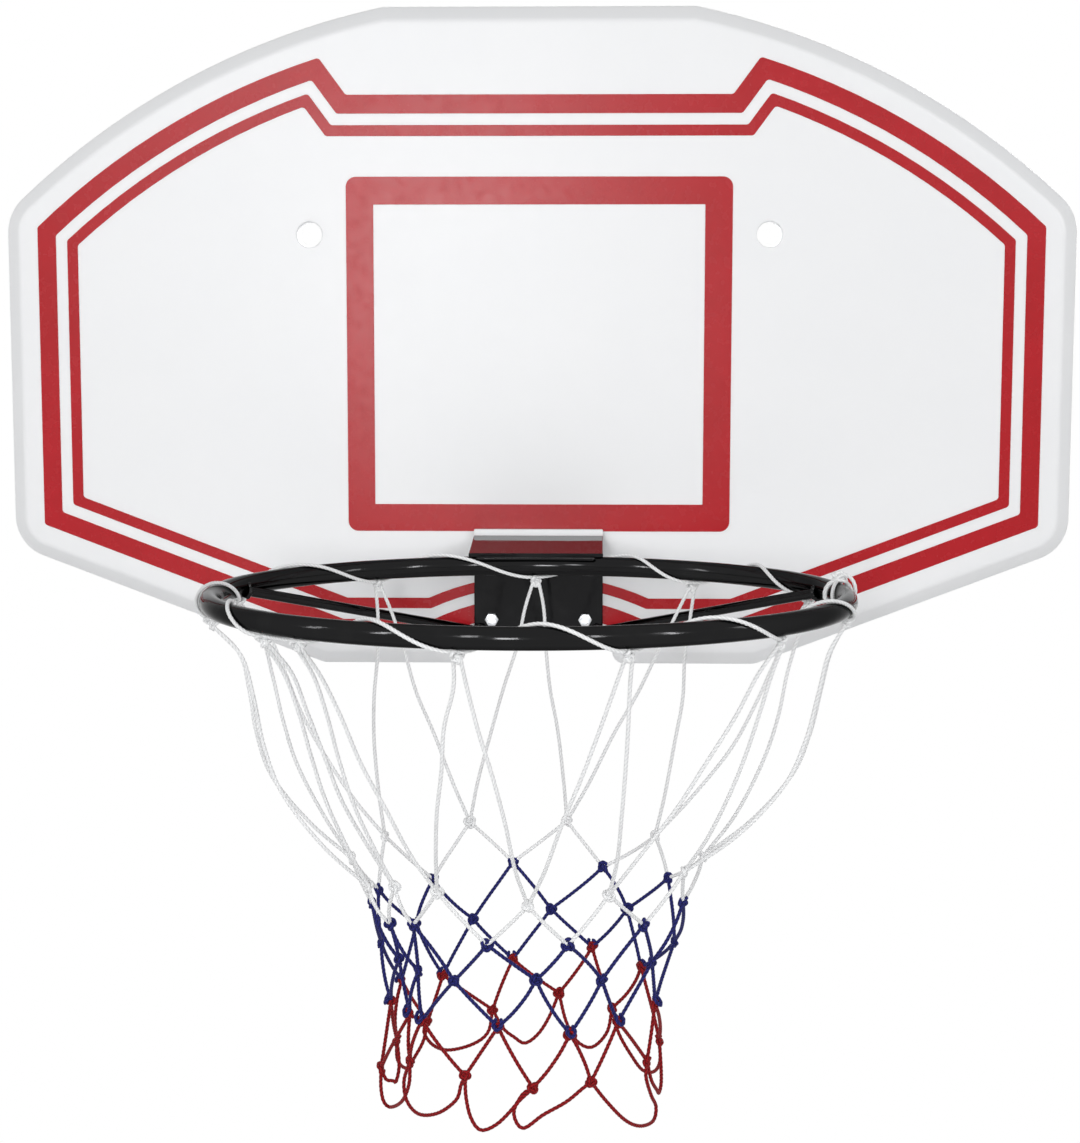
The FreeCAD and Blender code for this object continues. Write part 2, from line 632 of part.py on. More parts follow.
def top_strands():
    """Two long cords from each head knot to the first row, bowed outwards."""
    strands = []
    bottom = HEAD_KNOT_TOP - KNOT_HEIGHT - CORD_GAP
    for i, angle in enumerate(HEAD_ANGLES):
        for side in (-1, 1):
            # The pair under the ring's front straddles column 0 of the first row
            end = cord_seat(0, i if side < 0 else i + 1, -side, 1)
            start = ring_point(angle, RING_RADIUS, bottom) + ring_tangent(angle) * (side * KNOT_CORD_OFFSET)
            middle = (start + end) * 0.5
            outward = V(middle.x, middle.y - RING_Y, 0).normalize()
            run = (end - start).normalize()
            bow = (outward - run * outward.dot(run)).normalize() * STRAND_BOW
            strands.append(bent_cord(start, middle + bow, end, STRAND_SPAN_COUNT, True))
    return Part.makeCompound(strands)


def lacing_route():
    """Quarter turns of the lacing: angle about the ring and angle about the rod, in degrees."""
    shelf_half_angle = math.degrees(math.asin((BRACKET_WIDTH / 2 + LACING_SHELF_CLEARANCE) / RING_RADIUS))
    first = next(i for i, angle in enumerate(HEAD_ANGLES) if angle > TIE_ANGLE)
    ordered = [head_angle(first + i) for i in range(NET_COLUMNS)]
    quarter = 90
    route = []
    turn = -quarter
    for here, there in zip(ordered, ordered[1:]):
        crossing = (here + there) / 2
        if here < BACK_ANGLE <= there:
            crossing = min(crossing, BACK_ANGLE - shelf_half_angle)
        if here <= BACK_ANGLE < there:
            crossing = max(crossing, BACK_ANGLE + shelf_half_angle)
        route += [(here, turn), ((here + crossing) / 2, turn - quarter), (crossing, turn - 2 * quarter),
                  ((crossing + there) / 2, turn - 3 * quarter)]
        turn -= 4 * quarter
    tie_gap = math.degrees((TIE_LENGTH / 2 + CORD_GAP) / RING_RADIUS)
    start = TIE_ANGLE + tie_gap
    end = TIE_ANGLE + 360 - tie_gap
    route = [(start, quarter), ((start + ordered[0]) / 2, 0)] + route
    route += [(ordered[-1], turn), ((ordered[-1] + end) / 2, turn - quarter), (end, turn - 2 * quarter)]
    return route


def lacing_points():
    """Points of the lacing and their directions."""
    route = lacing_route()
    points = []
    tangents = []
    for i, (angle, turn) in enumerate(route):
        before = route[max(i - 1, 0)]
        after = route[min(i + 1, len(route) - 1)]
        swing = math.radians(turn)
        reach = RING_RADIUS + LACING_RADIUS * math.cos(swing)
        points.append(ring_point(angle, reach, RING_Z + LACING_RADIUS * math.sin(swing)))
        outward = (ring_point(angle, 1, 0) - V(0, RING_Y, 0))
        around = V(0, 0, 1) * math.cos(swing) - outward * math.sin(swing)
        tangent = (ring_tangent(angle) * (reach * math.radians(after[0] - before[0]))
                   + around * (LACING_RADIUS * math.radians(after[1] - before[1])))
        if i in (0, len(route) - 1):
            tangent = ring_tangent(angle)
        tangents.append(tangent.normalize())
    return points, tangents


def arc_from(start, corner, end):
    """Arc from start to end whose end tangents meet at corner."""
    middle = (start + end) * 0.5
    half = (end - start).Length / 2
    lift = corner - middle
    angle = math.atan2(lift.Length, half)
    return Part.Arc(start, middle + lift.normalize() * (half * math.tan(angle / 2)), end).toShape()


def biarcs(points, tangents):
    """Two tangent arcs between each pair of points."""
    arcs = []
    for p, q, s, t in zip(points, points[1:], tangents, tangents[1:]):
        chord = q - p
        both = s + t
        spread = 2 * (1 - s.dot(t))
        along = chord.dot(both)
        reach = (math.sqrt(along ** 2 + spread * chord.dot(chord)) - along) / spread
        corner = p + s * reach
        other = q - t * reach
        joint = (corner + other) * 0.5
        arcs += [arc_from(p, corner, joint), arc_from(joint, other, q)]
    return arcs


def report_lacing(arcs):
    """Prints the lacing's length, its tightest arc, and its least gap to itself and to the rod."""
    samples = []
    travel = 0
    for edge in arcs:
        steps = 5
        for i in range(steps):
            share = i / steps
            at = edge.FirstParameter + share * (edge.LastParameter - edge.FirstParameter)
            samples.append((travel + share * edge.Length, edge.valueAt(at)))
        travel += edge.Length
    apart = min(a.distanceToPoint(b) for i, (u, a) in enumerate(samples) for v, b in samples[i + 1:]
                if v - u > 4 * CORD)
    rod = min(math.hypot(math.hypot(p.x, p.y - RING_Y) - RING_RADIUS, p.z - RING_Z) for _, p in samples)
    tightest = min(edge.Curve.Radius for edge in arcs)
    print("lacing: length %.0f, tightest radius %.1f, gap to itself %.2f, gap to the rod %.2f"
          % (travel, tightest, apart - CORD, rod - ROD_RADIUS - CORD_RADIUS))


def lacing():
    """Cord wound once round the rod between each pair of head knots."""
    arcs = biarcs(*lacing_points())
    report_lacing(arcs)
    return wound_cord(arcs)


def tie_knot():
    """Knot on the rod where the lacing's two ends meet, with two short tails."""
    along = ring_tangent(TIE_ANGLE)
    outward = ring_point(TIE_ANGLE, 1, 0) - V(0, RING_Y, 0)
    centre = ring_point(TIE_ANGLE, RING_RADIUS, RING_Z + ROD_RADIUS + CORD_GAP + TIE_RADIUS)
    pieces = [knot(centre, along, TIE_LENGTH, TIE_RADIUS, TIE_RADIUS - CORD_RADIUS / 2)]
    for side, length in zip((-1, 1), TAIL_LENGTHS):
        root = centre + along * (side * TIE_LENGTH / 4) + outward * (TIE_RADIUS + CORD_GAP)
        run = outward * 2 + along * side
        end = root + run.normalize() * length - V(0, 0, length / 2)
        pieces.append(bent_cord(root, (root + end) * 0.5 + V(0, 0, length / 8), end, TAIL_SPAN_COUNT, False))
    return Part.makeCompound(pieces)


def build():
    """All pieces by name."""
    inner_start = OUTER_BAND + BAND_GAP
    pieces = {
        "board_shell": board_shell(),
        "target_band": band(target_outline(0, TARGET_CORNER_RADIUS), target_outline(TARGET_BAND, 0)),
        "outer_border_band": band(border_outline(0), border_outline(OUTER_BAND)),
        "inner_border_band": band(border_outline(inner_start), border_outline(inner_start + INNER_BAND)),
        "bracket_plate": bracket_plate(),
        "bracket_shelf": shelf(),
        "ring_rod": ring_torus(ROD_RADIUS),
        "brace_rod_left": brace(-1),
        "brace_rod_right": brace(1),
        "bracket_bolts": fasteners(bolt),
        "bracket_washers": fasteners(washer),
        "bracket_lock_washers": fasteners(lock_washer),
        "bracket_nuts": fasteners(nut),
        "net_lacing_cord": lacing(),
        "net_tie_knot": tie_knot(),
        "net_head_knots": head_knots(),
        "net_top_strands": top_strands(),
        "net_white_row": row_cords(0),
        "net_blue_upper_row": row_cords(1),
        "net_blue_lower_row": row_cords(2),
        "net_red_row": row_cords(3),
        "net_red_loops": end_loops(),
    }
    for row in range(len(ROW_DROPS)):
        pieces["net_knots_row_%d" % (row + 1)] = row_knots(row)
    return pieces


def main():
    """Writes each piece to its own file."""
    os.makedirs("parts", exist_ok=True)
    for name, shape in build().items():
        shape.exportStep("parts/%s.step" % name)
        print("%-22s solids %3d  volume %10.0f  valid %s"
              % (name, len(shape.Solids), shape.Volume, shape.isValid()))


main()
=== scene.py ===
"""Looks of a wall-hung basketball backboard: moulded board, painted ring and bracket, knotted cord net.

Metres. The front faces -Y, +X is to the right of someone facing the board, +Z is up.
"""
import logging
import math
import random
from dataclasses import dataclass, field
from enum import Enum
from typing import Iterable, Sequence

import bmesh
import bpy
import numpy as np
from mathutils import Matrix, Vector
from mathutils.geometry import delaunay_2d_cdt

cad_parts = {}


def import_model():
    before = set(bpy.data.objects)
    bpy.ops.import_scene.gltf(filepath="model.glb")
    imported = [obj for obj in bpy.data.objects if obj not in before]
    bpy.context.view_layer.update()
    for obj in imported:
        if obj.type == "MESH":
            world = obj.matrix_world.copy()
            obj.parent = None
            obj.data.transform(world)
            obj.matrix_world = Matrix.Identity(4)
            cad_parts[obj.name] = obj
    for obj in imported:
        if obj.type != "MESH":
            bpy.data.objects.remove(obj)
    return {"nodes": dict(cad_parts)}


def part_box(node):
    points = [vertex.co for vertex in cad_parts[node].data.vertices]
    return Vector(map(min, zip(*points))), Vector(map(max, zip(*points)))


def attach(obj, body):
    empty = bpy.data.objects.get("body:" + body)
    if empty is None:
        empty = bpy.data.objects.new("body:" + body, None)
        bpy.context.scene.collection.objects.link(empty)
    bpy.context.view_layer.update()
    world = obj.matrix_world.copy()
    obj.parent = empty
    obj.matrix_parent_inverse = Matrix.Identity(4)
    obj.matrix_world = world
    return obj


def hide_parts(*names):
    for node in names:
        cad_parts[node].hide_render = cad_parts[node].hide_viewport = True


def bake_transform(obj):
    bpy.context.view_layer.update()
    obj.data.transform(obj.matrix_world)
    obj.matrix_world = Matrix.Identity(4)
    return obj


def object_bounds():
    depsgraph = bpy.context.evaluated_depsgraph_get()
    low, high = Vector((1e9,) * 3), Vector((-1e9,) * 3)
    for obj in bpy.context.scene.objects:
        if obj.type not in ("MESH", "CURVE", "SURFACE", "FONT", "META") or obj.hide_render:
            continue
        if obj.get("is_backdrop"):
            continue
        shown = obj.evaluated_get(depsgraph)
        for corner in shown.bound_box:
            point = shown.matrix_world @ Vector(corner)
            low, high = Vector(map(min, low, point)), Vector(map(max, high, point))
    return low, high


LOG = logging.getLogger("backboard")
SEED = 21

FULL_TURN = 2 * math.pi
QUARTER_TURN = math.pi / 2
UP = Vector((0.0, 0.0, 1.0))
WHITE = (1.0, 1.0, 1.0)
UNIT_RANGE = (0.0, 1.0)
NOISE_RANGE = (0.3, 0.7)
# Where the middle of a rounded edge lies, as a share of its radius.
ROUND_SHARE = 0.3

Pair = tuple[float, float]
Pixel = tuple[float, float]
Triple = tuple[float, float, float]
Colour = tuple[float, float, float]
Loop = list[int]
Box = tuple[Vector, Vector]
Socket = bpy.types.NodeSocket


class Body(Enum):
    """What a piece moves with."""

    BOARD = "backboard"
    NET = "net"


class Slot(Enum):
    """The record's finishes."""

    BOARD_WHITE = "board_white"
    BAND_RED = "band_red"
    BLACK_STEEL = "black_steel"
    ZINC = "zinc"
    CORD_WHITE = "cord_white"
    CORD_BLUE = "cord_blue"
    CORD_RED = "cord_red"


@dataclass(frozen=True)
class Grain:
    """A noise pattern: blobs per metre, levels of finer noise, and factors on the three axes."""

    scale: float
    detail: float = 3.0
    stretch: Triple = (1.0, 1.0, 1.0)


@dataclass(frozen=True)
class Relief:
    """A pattern that stands out from a surface: how much of its tilt is used, and its depth."""

    grain: Grain
    strength: float
    depth: float


class NodeWork:
    """A node tree under construction."""

    def __init__(self, tree: bpy.types.NodeTree) -> None:
        """Starts with an empty tree."""
        self.tree = tree
        self.tree.nodes.clear()

    def add(self, kind: str, inputs: dict[str | int, object], **settings: object) -> bpy.types.Node:
        """Adds a node.

        Args:
            kind: Blender's name of the node type.
            inputs: What its sockets are set or linked to.
            settings: Attributes to set on the node.

        Returns:
            The node.
        """
        node = self.tree.nodes.new(kind)
        for name, value in settings.items():
            setattr(node, name, value)
        self.feed(node, inputs)
        return node

    def feed(self, node: bpy.types.Node, inputs: dict[str | int, object]) -> None:
        """Sets a node's sockets to constants, or links them to other sockets.

        Args:
            node: The node.
            inputs: A number, vector, colour or socket for each of the node's sockets.
        """
        for name, value in inputs.items():
            socket = node.inputs[name]
            if isinstance(value, Socket):
                self.tree.links.new(value, socket)
            elif socket.type == "RGBA":
                socket.default_value = (*value, 1.0)
            else:
                socket.default_value = value

    def mixed(self, factor: Socket, first: bpy.types.Node, second: bpy.types.Node) -> Socket:
        """Mixes two shaders by a factor: 0 for the first, 1 for the second."""
        inputs = {0: factor, 1: first.outputs[0], 2: second.outputs[0]}
        return self.add("ShaderNodeMixShader", inputs).outputs[0]

    def seen_directly(self) -> Socket:
        """Adds a value that is 1 for what is seen, mirrored or looked through to, and 0 for light.

        Returns:
            The value.
        """
        path = self.add("ShaderNodeLightPath", {})
        total = path.outputs["Is Camera Ray"]
        for name in ("Is Glossy Ray", "Is Transmission Ray"):
            inputs = {0: total, 1: path.outputs[name]}
            total = self.add("ShaderNodeMath", inputs, operation="MAXIMUM").outputs[0]
        return total


class Shader(NodeWork):
    """A surface material under construction, with object coordinates for its textures."""

    def __init__(self, name: str) -> None:
        """Starts a material with one principled surface.

        Args:
            name: The material's name.
        """
        self.material = bpy.data.materials.new(name)
        self.material.use_nodes = True
        super().__init__(self.material.node_tree)
        self.surface = self.add("ShaderNodeBsdfPrincipled", {})
        self.output = self.add("ShaderNodeOutputMaterial", {"Surface": self.surface.outputs["BSDF"]})
        self.place = self.add("ShaderNodeTexCoord", {}).outputs["Object"]

    def set(self, inputs: dict[str, object]) -> None:
        """Sets or links the surface's sockets."""
        self.feed(self.surface, inputs)

    def noise(self, grain: Grain) -> Socket:
        """Adds a noise pattern, whose values lie about 0.5.

        Args:
            grain: The pattern.

        Returns:
            Its value.
        """
        mapping = self.add("ShaderNodeMapping", {"Vector": self.place, "Scale": grain.stretch})
        inputs = {"Vector": mapping.outputs["Vector"], "Scale": grain.scale, "Detail": grain.detail}
        return self.add("ShaderNodeTexNoise", inputs).outputs[0]

    def span(self, value: Socket, target: Pair, source: Pair = NOISE_RANGE) -> Socket:
        """Maps a value from one range to another.

        Args:
            value: The value to map.
            target: What the ends of its range become.
            source: The ends of its range.

        Returns:
            The mapped value.
        """
        inputs = {"Value": value, "From Min": source[0], "From Max": source[1],
                  "To Min": target[0], "To Max": target[1]}
        return self.add("ShaderNodeMapRange", inputs).outputs["Result"]

    def between(self, factor: Socket, first: Colour, second: Colour) -> Socket:
        """Mixes two colours by a factor: 0 for the first, 1 for the second."""
        return self.add("ShaderNodeMix", {0: factor, 6: first, 7: second}, data_type="RGBA").outputs[2]

    def attribute(self, name: str) -> Socket:
        """Reads a number that the mesh carries at its points."""
        return self.add("ShaderNodeAttribute", {}, attribute_name=name).outputs["Fac"]

    def bump(self, relief: Relief, under: Socket | None = None) -> Socket:
        """Turns a relief into a tilt of the surface.

        Args:
            relief: The relief.
            under: A coarser tilt that this one lies on.

        Returns:
            The tilted normal.
        """
        inputs = {"Height": self.noise(relief.grain), "Strength": relief.strength, "Distance": relief.depth}
        if under is not None:
            inputs["Normal"] = under
        return self.add("ShaderNodeBump", inputs).outputs["Normal"]


@dataclass(frozen=True)
class Finish:
    """What a surface looks like, and the record's slot that it stands for."""

    name: str
    slot: Slot
    colour: Colour
    shade: Colour
    roughness: float
    gloss_spread: Pair = (0.0, 0.0)
    specular: float = 0.5

    def material(self) -> bpy.types.Material:
        """Makes the material the first time, and hands out the same one after that.

        Returns:
            The material.
        """
        found = bpy.data.materials.get(self.name)
        if found is None:
            shader = Shader(self.name)
            self.paint(shader)
            found = shader.material
        return found

    def gloss_range(self) -> Pair:
        """The least and the greatest roughness."""
        return self.roughness + self.gloss_spread[0], self.roughness + self.gloss_spread[1]

    def paint(self, shader: Shader) -> None:
        """Gives the shader its colour, gloss and relief.

        Args:
            shader: The shader.
        """
        raise NotImplementedError


@dataclass(frozen=True)
class MouldedPlastic(Finish):
    """Satin blow-moulded plastic: faint flow marks, a fine grain, and slow waves where it shrank."""

    gloss_spread: Pair = (-0.015, 0.015)
    specular: float = 0.4
    flow: Grain = Grain(9.0, 5.0)
    gloss: Grain = Grain(70.0)
    waves: Relief = Relief(Grain(6.0, 1.0), 0.35, 0.0012)
    skin: Relief = Relief(Grain(1500.0, 2.0), 0.3, 0.00008)

    def paint(self, shader: Shader) -> None:
        """Gives the shader its colour, gloss and relief.

        Args:
            shader: The shader.
        """
        shader.set({"Base Color": shader.between(shader.noise(self.flow), self.colour, self.shade),
                    "Roughness": shader.span(shader.noise(self.gloss), self.gloss_range()),
                    "Normal": shader.bump(self.skin, shader.bump(self.waves)),
                    "Specular IOR Level": self.specular})


@dataclass(frozen=True)
class PrintedBand(Finish):
    """Glossy screen-printed ink: even colour with a slightly uneven coat."""

    gloss_spread: Pair = (-0.02, 0.03)
    specular: float = 0.25
    density: Grain = Grain(22.0, 6.0)
    gloss: Grain = Grain(130.0)
    coat: Relief = Relief(Grain(420.0, 2.0), 0.25, 0.00006)

    def paint(self, shader: Shader) -> None:
        """Gives the shader its colour, gloss and relief.

        Args:
            shader: The shader.
        """
        density = shader.span(shader.noise(self.density), UNIT_RANGE)
        shader.set({"Base Color": shader.between(density, self.colour, self.shade),
                    "Roughness": shader.span(shader.noise(self.gloss), self.gloss_range()),
                    "Normal": shader.bump(self.coat),
                    "Specular IOR Level": self.specular})


@dataclass(frozen=True)
class GlossPaint(Finish):
    """Stoved gloss paint on steel: orange peel, and dull spots where it has been handled."""

    specular: float = 0.17
    rubs: Grain = Grain(34.0, 6.0)
    rub_range: Pair = (0.52, 0.72)
    rub_roughness: float = 0.14
    peel: Relief = Relief(Grain(520.0, 1.5), 0.16, 0.00012)
    waves: Relief = Relief(Grain(55.0, 2.0), 0.5, 0.0004)

    def paint(self, shader: Shader) -> None:
        """Gives the shader its colour, gloss and relief.

        Args:
            shader: The shader.
        """
        rubbed = shader.span(shader.noise(self.rubs), UNIT_RANGE, self.rub_range)
        shader.set({"Base Color": shader.between(rubbed, self.colour, self.shade),
                    "Roughness": shader.span(rubbed, (self.roughness, self.rub_roughness), UNIT_RANGE),
                    "Normal": shader.bump(self.peel, shader.bump(self.waves)),
                    "Specular IOR Level": self.specular})


@dataclass(frozen=True)
class RodPaint(GlossPaint):
    """Gloss paint that mirrors little at a flat angle: its colour is the share that it mirrors."""

    edge_tint: Colour = (0.5, 0.5, 0.5)

    def paint(self, shader: Shader) -> None:
        """Gives the shader its colour, gloss and relief.

        Args:
            shader: The shader.
        """
        super().paint(shader)
        shader.set({"Metallic": 1.0, "Specular Tint": self.edge_tint})


@dataclass(frozen=True)
class ZincPlate(Finish):
    """Bright zinc plating with a cloudy, finely scratched face."""

    gloss_spread: Pair = (-0.07, 0.09)
    clouds: Grain = Grain(260.0, 5.0)
    scratches: Relief = Relief(Grain(1800.0, 2.0, (1.0, 1.0, 0.08)), 0.2, 0.00005)

    def paint(self, shader: Shader) -> None:
        """Gives the shader its colour, gloss and relief.

        Args:
            shader: The shader.
        """
        clouds = shader.span(shader.noise(self.clouds), UNIT_RANGE)
        shader.set({"Base Color": shader.between(clouds, self.colour, self.shade),
                    "Metallic": 1.0,
                    "Roughness": shader.span(clouds, self.gloss_range(), UNIT_RANGE),
                    "Normal": shader.bump(self.scratches)})


@dataclass(frozen=True)
class TwistedCord(Finish):
    """Three-strand twisted cord: painted shade in the grooves between the strands, with a fine fibre nap."""

    gloss_spread: Pair = (-0.1, 0.1)
    specular: float = 0.15
    sheen: float = 0.05
    groove_shade_range: Pair = (0.05, 0.75)
    fibre: Relief = Relief(Grain(2600.0, 3.0, (1.0, 1.0, 0.35)), 0.5, 0.00022)

    def paint(self, shader: Shader) -> None:
        """Gives the shader its colour, gloss and relief.

        Args:
            shader: The shader.
        """
        # Painted shade: the base colour darkens to the shade colour in the grooves between the strands.
        crest = shader.span(shader.attribute(CordDraft.LAY), UNIT_RANGE, self.groove_shade_range)
        shader.set({"Base Color": shader.between(crest, self.shade, self.colour),
                    "Roughness": shader.span(shader.noise(self.fibre.grain), self.gloss_range()),
                    "Normal": shader.bump(self.fibre),
                    "Sheen Weight": self.sheen,
                    "Specular IOR Level": self.specular})


BOARD_PLASTIC = MouldedPlastic("white moulded plastic", Slot.BOARD_WHITE,
                               (0.86, 0.865, 0.875), (0.825, 0.835, 0.85), 0.34)
BAND_INK = PrintedBand("red printed band", Slot.BAND_RED, (0.44, 0.006, 0.013), (0.4, 0.005, 0.01), 0.26)
STEEL_PAINT = RodPaint("black gloss paint", Slot.BLACK_STEEL,
                       (0.0185, 0.0185, 0.019), (0.022, 0.022, 0.0225), 0.1)
SHEET_PAINT = GlossPaint("black gloss sheet", Slot.BLACK_STEEL,
                         (0.006, 0.006, 0.007), (0.011, 0.011, 0.012), 0.04, rub_roughness=0.08,
                         peel=Relief(Grain(520.0, 1.5), 0.16, 0.00004),
                         waves=Relief(Grain(55.0, 2.0), 0.5, 0.0001))
ZINC = ZincPlate("zinc plate", Slot.ZINC, (0.74, 0.75, 0.76), (0.56, 0.58, 0.61), 0.3)
# The second colour of each cord is painted shade in the grooves between its strands.
WHITE_CORD = TwistedCord("white twisted cord", Slot.CORD_WHITE, (0.89, 0.895, 0.9), (0.75, 0.76, 0.77), 0.7)
BLUE_CORD = TwistedCord("blue twisted cord", Slot.CORD_BLUE, (0.018, 0.02, 0.16), (0.005, 0.006, 0.045), 0.7)
RED_CORD = TwistedCord("red twisted cord", Slot.CORD_RED, (0.3, 0.006, 0.009), (0.09, 0.002, 0.003), 0.7)


def dress(piece: bpy.types.Object, finish: Finish, body: Body | None, *nodes: str) -> bpy.types.Object:
    """Gives a piece its finish and puts it in the place of its CAD nodes.

    Args:
        piece: The piece.
        finish: Its finish.
        body: What it moves with, or None for a piece that is attached to no body.
        nodes: The CAD nodes that it stands for.

    Returns:
        The piece.
    """
    piece.data.materials.clear()
    piece.data.materials.append(finish.material())
    if body is not None:
        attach(piece, body.value)
    if nodes:
        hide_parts(*nodes)
    LOG.info("%s: %d points, %s", piece.name, len(piece.data.vertices), finish.name)
    return piece


def fillet(corner: Vector, before: Vector, after: Vector, radius: float, steps: int) -> list[Vector]:
    """Rounds a corner of a flat line.

    Args:
        corner: The corner.
        before: A point on the line before it.
        after: A point on the line after it.
        radius: The radius of the arc.
        steps: How many steps the arc has.

    Returns:
        The points of the arc.
    """
    towards = (before - corner).normalized()
    onwards = (after - corner).normalized()
    half = towards.angle(onwards) / 2
    centre = corner + (towards + onwards).normalized() * (radius / math.sin(half))
    reach = radius / math.tan(half)
    start = corner + towards * reach - centre
    finish = corner + onwards * reach - centre
    turn = start.angle(finish)
    points = []
    for i in range(steps + 1):
        share = i / steps
        place = start * math.sin((1 - share) * turn) + finish * math.sin(share * turn)
        points.append(centre + place / math.sin(turn))
    return points


def rounded_line(points: Sequence[Pair], radii: Sequence[float], steps: int) -> list[Vector]:
    """Rounds the inner corners of an open flat line.

    Args:
        points: The line's points.
        radii: One radius for each inner corner.
        steps: How many steps each arc has.

    Returns:
        The points of the rounded line.
    """
    corners = [Vector(point) for point in points]
    line = [corners[0]]
    for before, corner, after, radius in zip(corners, corners[1:], corners[2:], radii):
        line += fillet(corner, before, after, radius, steps)
    return line + [corners[-1]]


def rounded_rectangle(half_width: float, half_height: float, radius: float, steps: int = 5) -> list[Vector]:
    """Closed rectangle about the origin with round corners.

    Args:
        half_width: Half its first side.
        half_height: Half its second side.
        radius: The radius of its corners.
        steps: How many steps each corner has.

    Returns:
        Its points, in order.
    """
    points = []
    for quarter in range(4):
        x = (half_width - radius) * (1 if quarter in (0, 3) else -1)
        z = (half_height - radius) * (1 if quarter < 2 else -1)
        for i in range(steps + 1):
            turn = QUARTER_TURN * (quarter + i / steps)
            points.append(Vector((x + radius * math.cos(turn), z + radius * math.sin(turn))))
    return points


def circle(radius: float, steps: int) -> list[Vector]:
    """Points of a circle about the origin."""
    turns = [FULL_TURN * i / steps for i in range(steps)]
    return [Vector((radius * math.cos(turn), radius * math.sin(turn))) for turn in turns]


def leaning_arc(x: float, z: float, radius: float, leans: Pair, steps: int) -> list[Vector]:
    """Arc whose angles are counted from straight up towards the right.

    Args:
        x: The x of its middle.
        z: The z of its middle.
        radius: Its radius.
        leans: The angles of its first and last point.
        steps: How many steps it has.

    Returns:
        Its points, as x and z.
    """
    start, finish = leans
    points = []
    for i in range(steps + 1):
        lean = start + (finish - start) * i / steps
        points.append(Vector((x + radius * math.sin(lean), z + radius * math.cos(lean))))
    return points


def aside(outward: Vector) -> Vector:
    """Level direction square to another one, to its left."""
    return Vector((-outward.y, outward.x, 0.0))


def hexagon_reach(turn: float, across_flats: float) -> float:
    """Distance from a hexagon's middle to its side, in a direction given by an angle from one corner."""
    from_flat = (turn % (math.pi / 3)) - math.pi / 6
    return across_flats / 2 / math.cos(from_flat)


def is_inside(point: Vector, outline: Sequence[Vector]) -> bool:
    """Whether a flat point lies inside a closed outline.

    Args:
        point: The point.
        outline: The outline's points, in order.

    Returns:
        True for a point inside.
    """
    inside = False
    previous = outline[-1]
    for here in outline:
        if (here.y > point.y) != (previous.y > point.y):
            share = (point.y - here.y) / (previous.y - here.y)
            if point.x < here.x + share * (previous.x - here.x):
                inside = not inside
        previous = here
    return inside


def front_outlines(node: bpy.types.Object, front: float, slack: float = 1e-5, digits: int = 6
                   ) -> list[list[Vector]]:
    """Outlines of a CAD node's flat front, the longest first.

    Args:
        node: The CAD node.
        front: The front's y.
        slack: How far behind it a point of the front may lie.
        digits: To how many digits two places are the same.

    Returns:
        Closed outlines, as x and z, with the node's material on their left.
    """
    places = [node.matrix_world @ corner.co for corner in node.data.vertices]
    spots = [(round(place.x, digits), round(place.z, digits)) for place in places]
    edges = set()
    for face in node.data.polygons:
        if all(places[i].y < front + slack for i in face.vertices):
            ring = [spots[i] for i in face.vertices]
            edges.update(zip(ring, ring[1:] + ring[:1]))
    onwards = {here: there for here, there in edges if (there, here) not in edges}
    outlines = []
    while onwards:
        here, there = onwards.popitem()
        outline = [Vector(here)]
        while there in onwards:
            outline.append(Vector(there))
            there = onwards.pop(there)
        outlines.append(outline)
    return sorted(outlines, key=lambda outline: -max(point.x for point in outline))


def round_corners(outline: Sequence[Vector], radius: float, least_turn: float, cover: Box,
                  steps: int = 6, side_share: float = 0.45) -> list[Vector]:
    """Rounds the corners of a closed flat outline.

    Args:
        outline: Its points, as x and z.
        radius: The radius of the arcs, which is less where a side is short.
        least_turn: The turn in radians above which a point is a corner.
        cover: A box behind which corners stay as they are.
        steps: How many steps each arc has.
        side_share: The share of a side that one arc may take up.

    Returns:
        The rounded outline's points.
    """
    low, high = cover
    line = []
    for i, corner in enumerate(outline):
        before = outline[i - 1]
        after = outline[(i + 1) % len(outline)]
        turn = (corner - before).angle(after - corner)
        covered = low.x < corner.x < high.x and low.z < corner.y < high.z
        if turn > least_turn and not covered:
            room = min((corner - before).length, (after - corner).length) * side_share
            line += fillet(corner, before, after, min(radius, room / math.tan(turn / 2)), steps)
        else:
            line.append(corner)
    return line


def drawn_in(outline: Sequence[Vector], inset: float) -> list[Vector]:
    """A closed flat outline moved to its left by a small distance.

    Args:
        outline: Its points, in order.
        inset: The distance.

    Returns:
        The moved points.
    """
    moved = []
    for i, point in enumerate(outline):
        run = (outline[(i + 1) % len(outline)] - point).normalized() + (point - outline[i - 1]).normalized()
        left = Vector((-run.y, run.x)).normalized()
        moved.append(point + left * inset)
    return moved


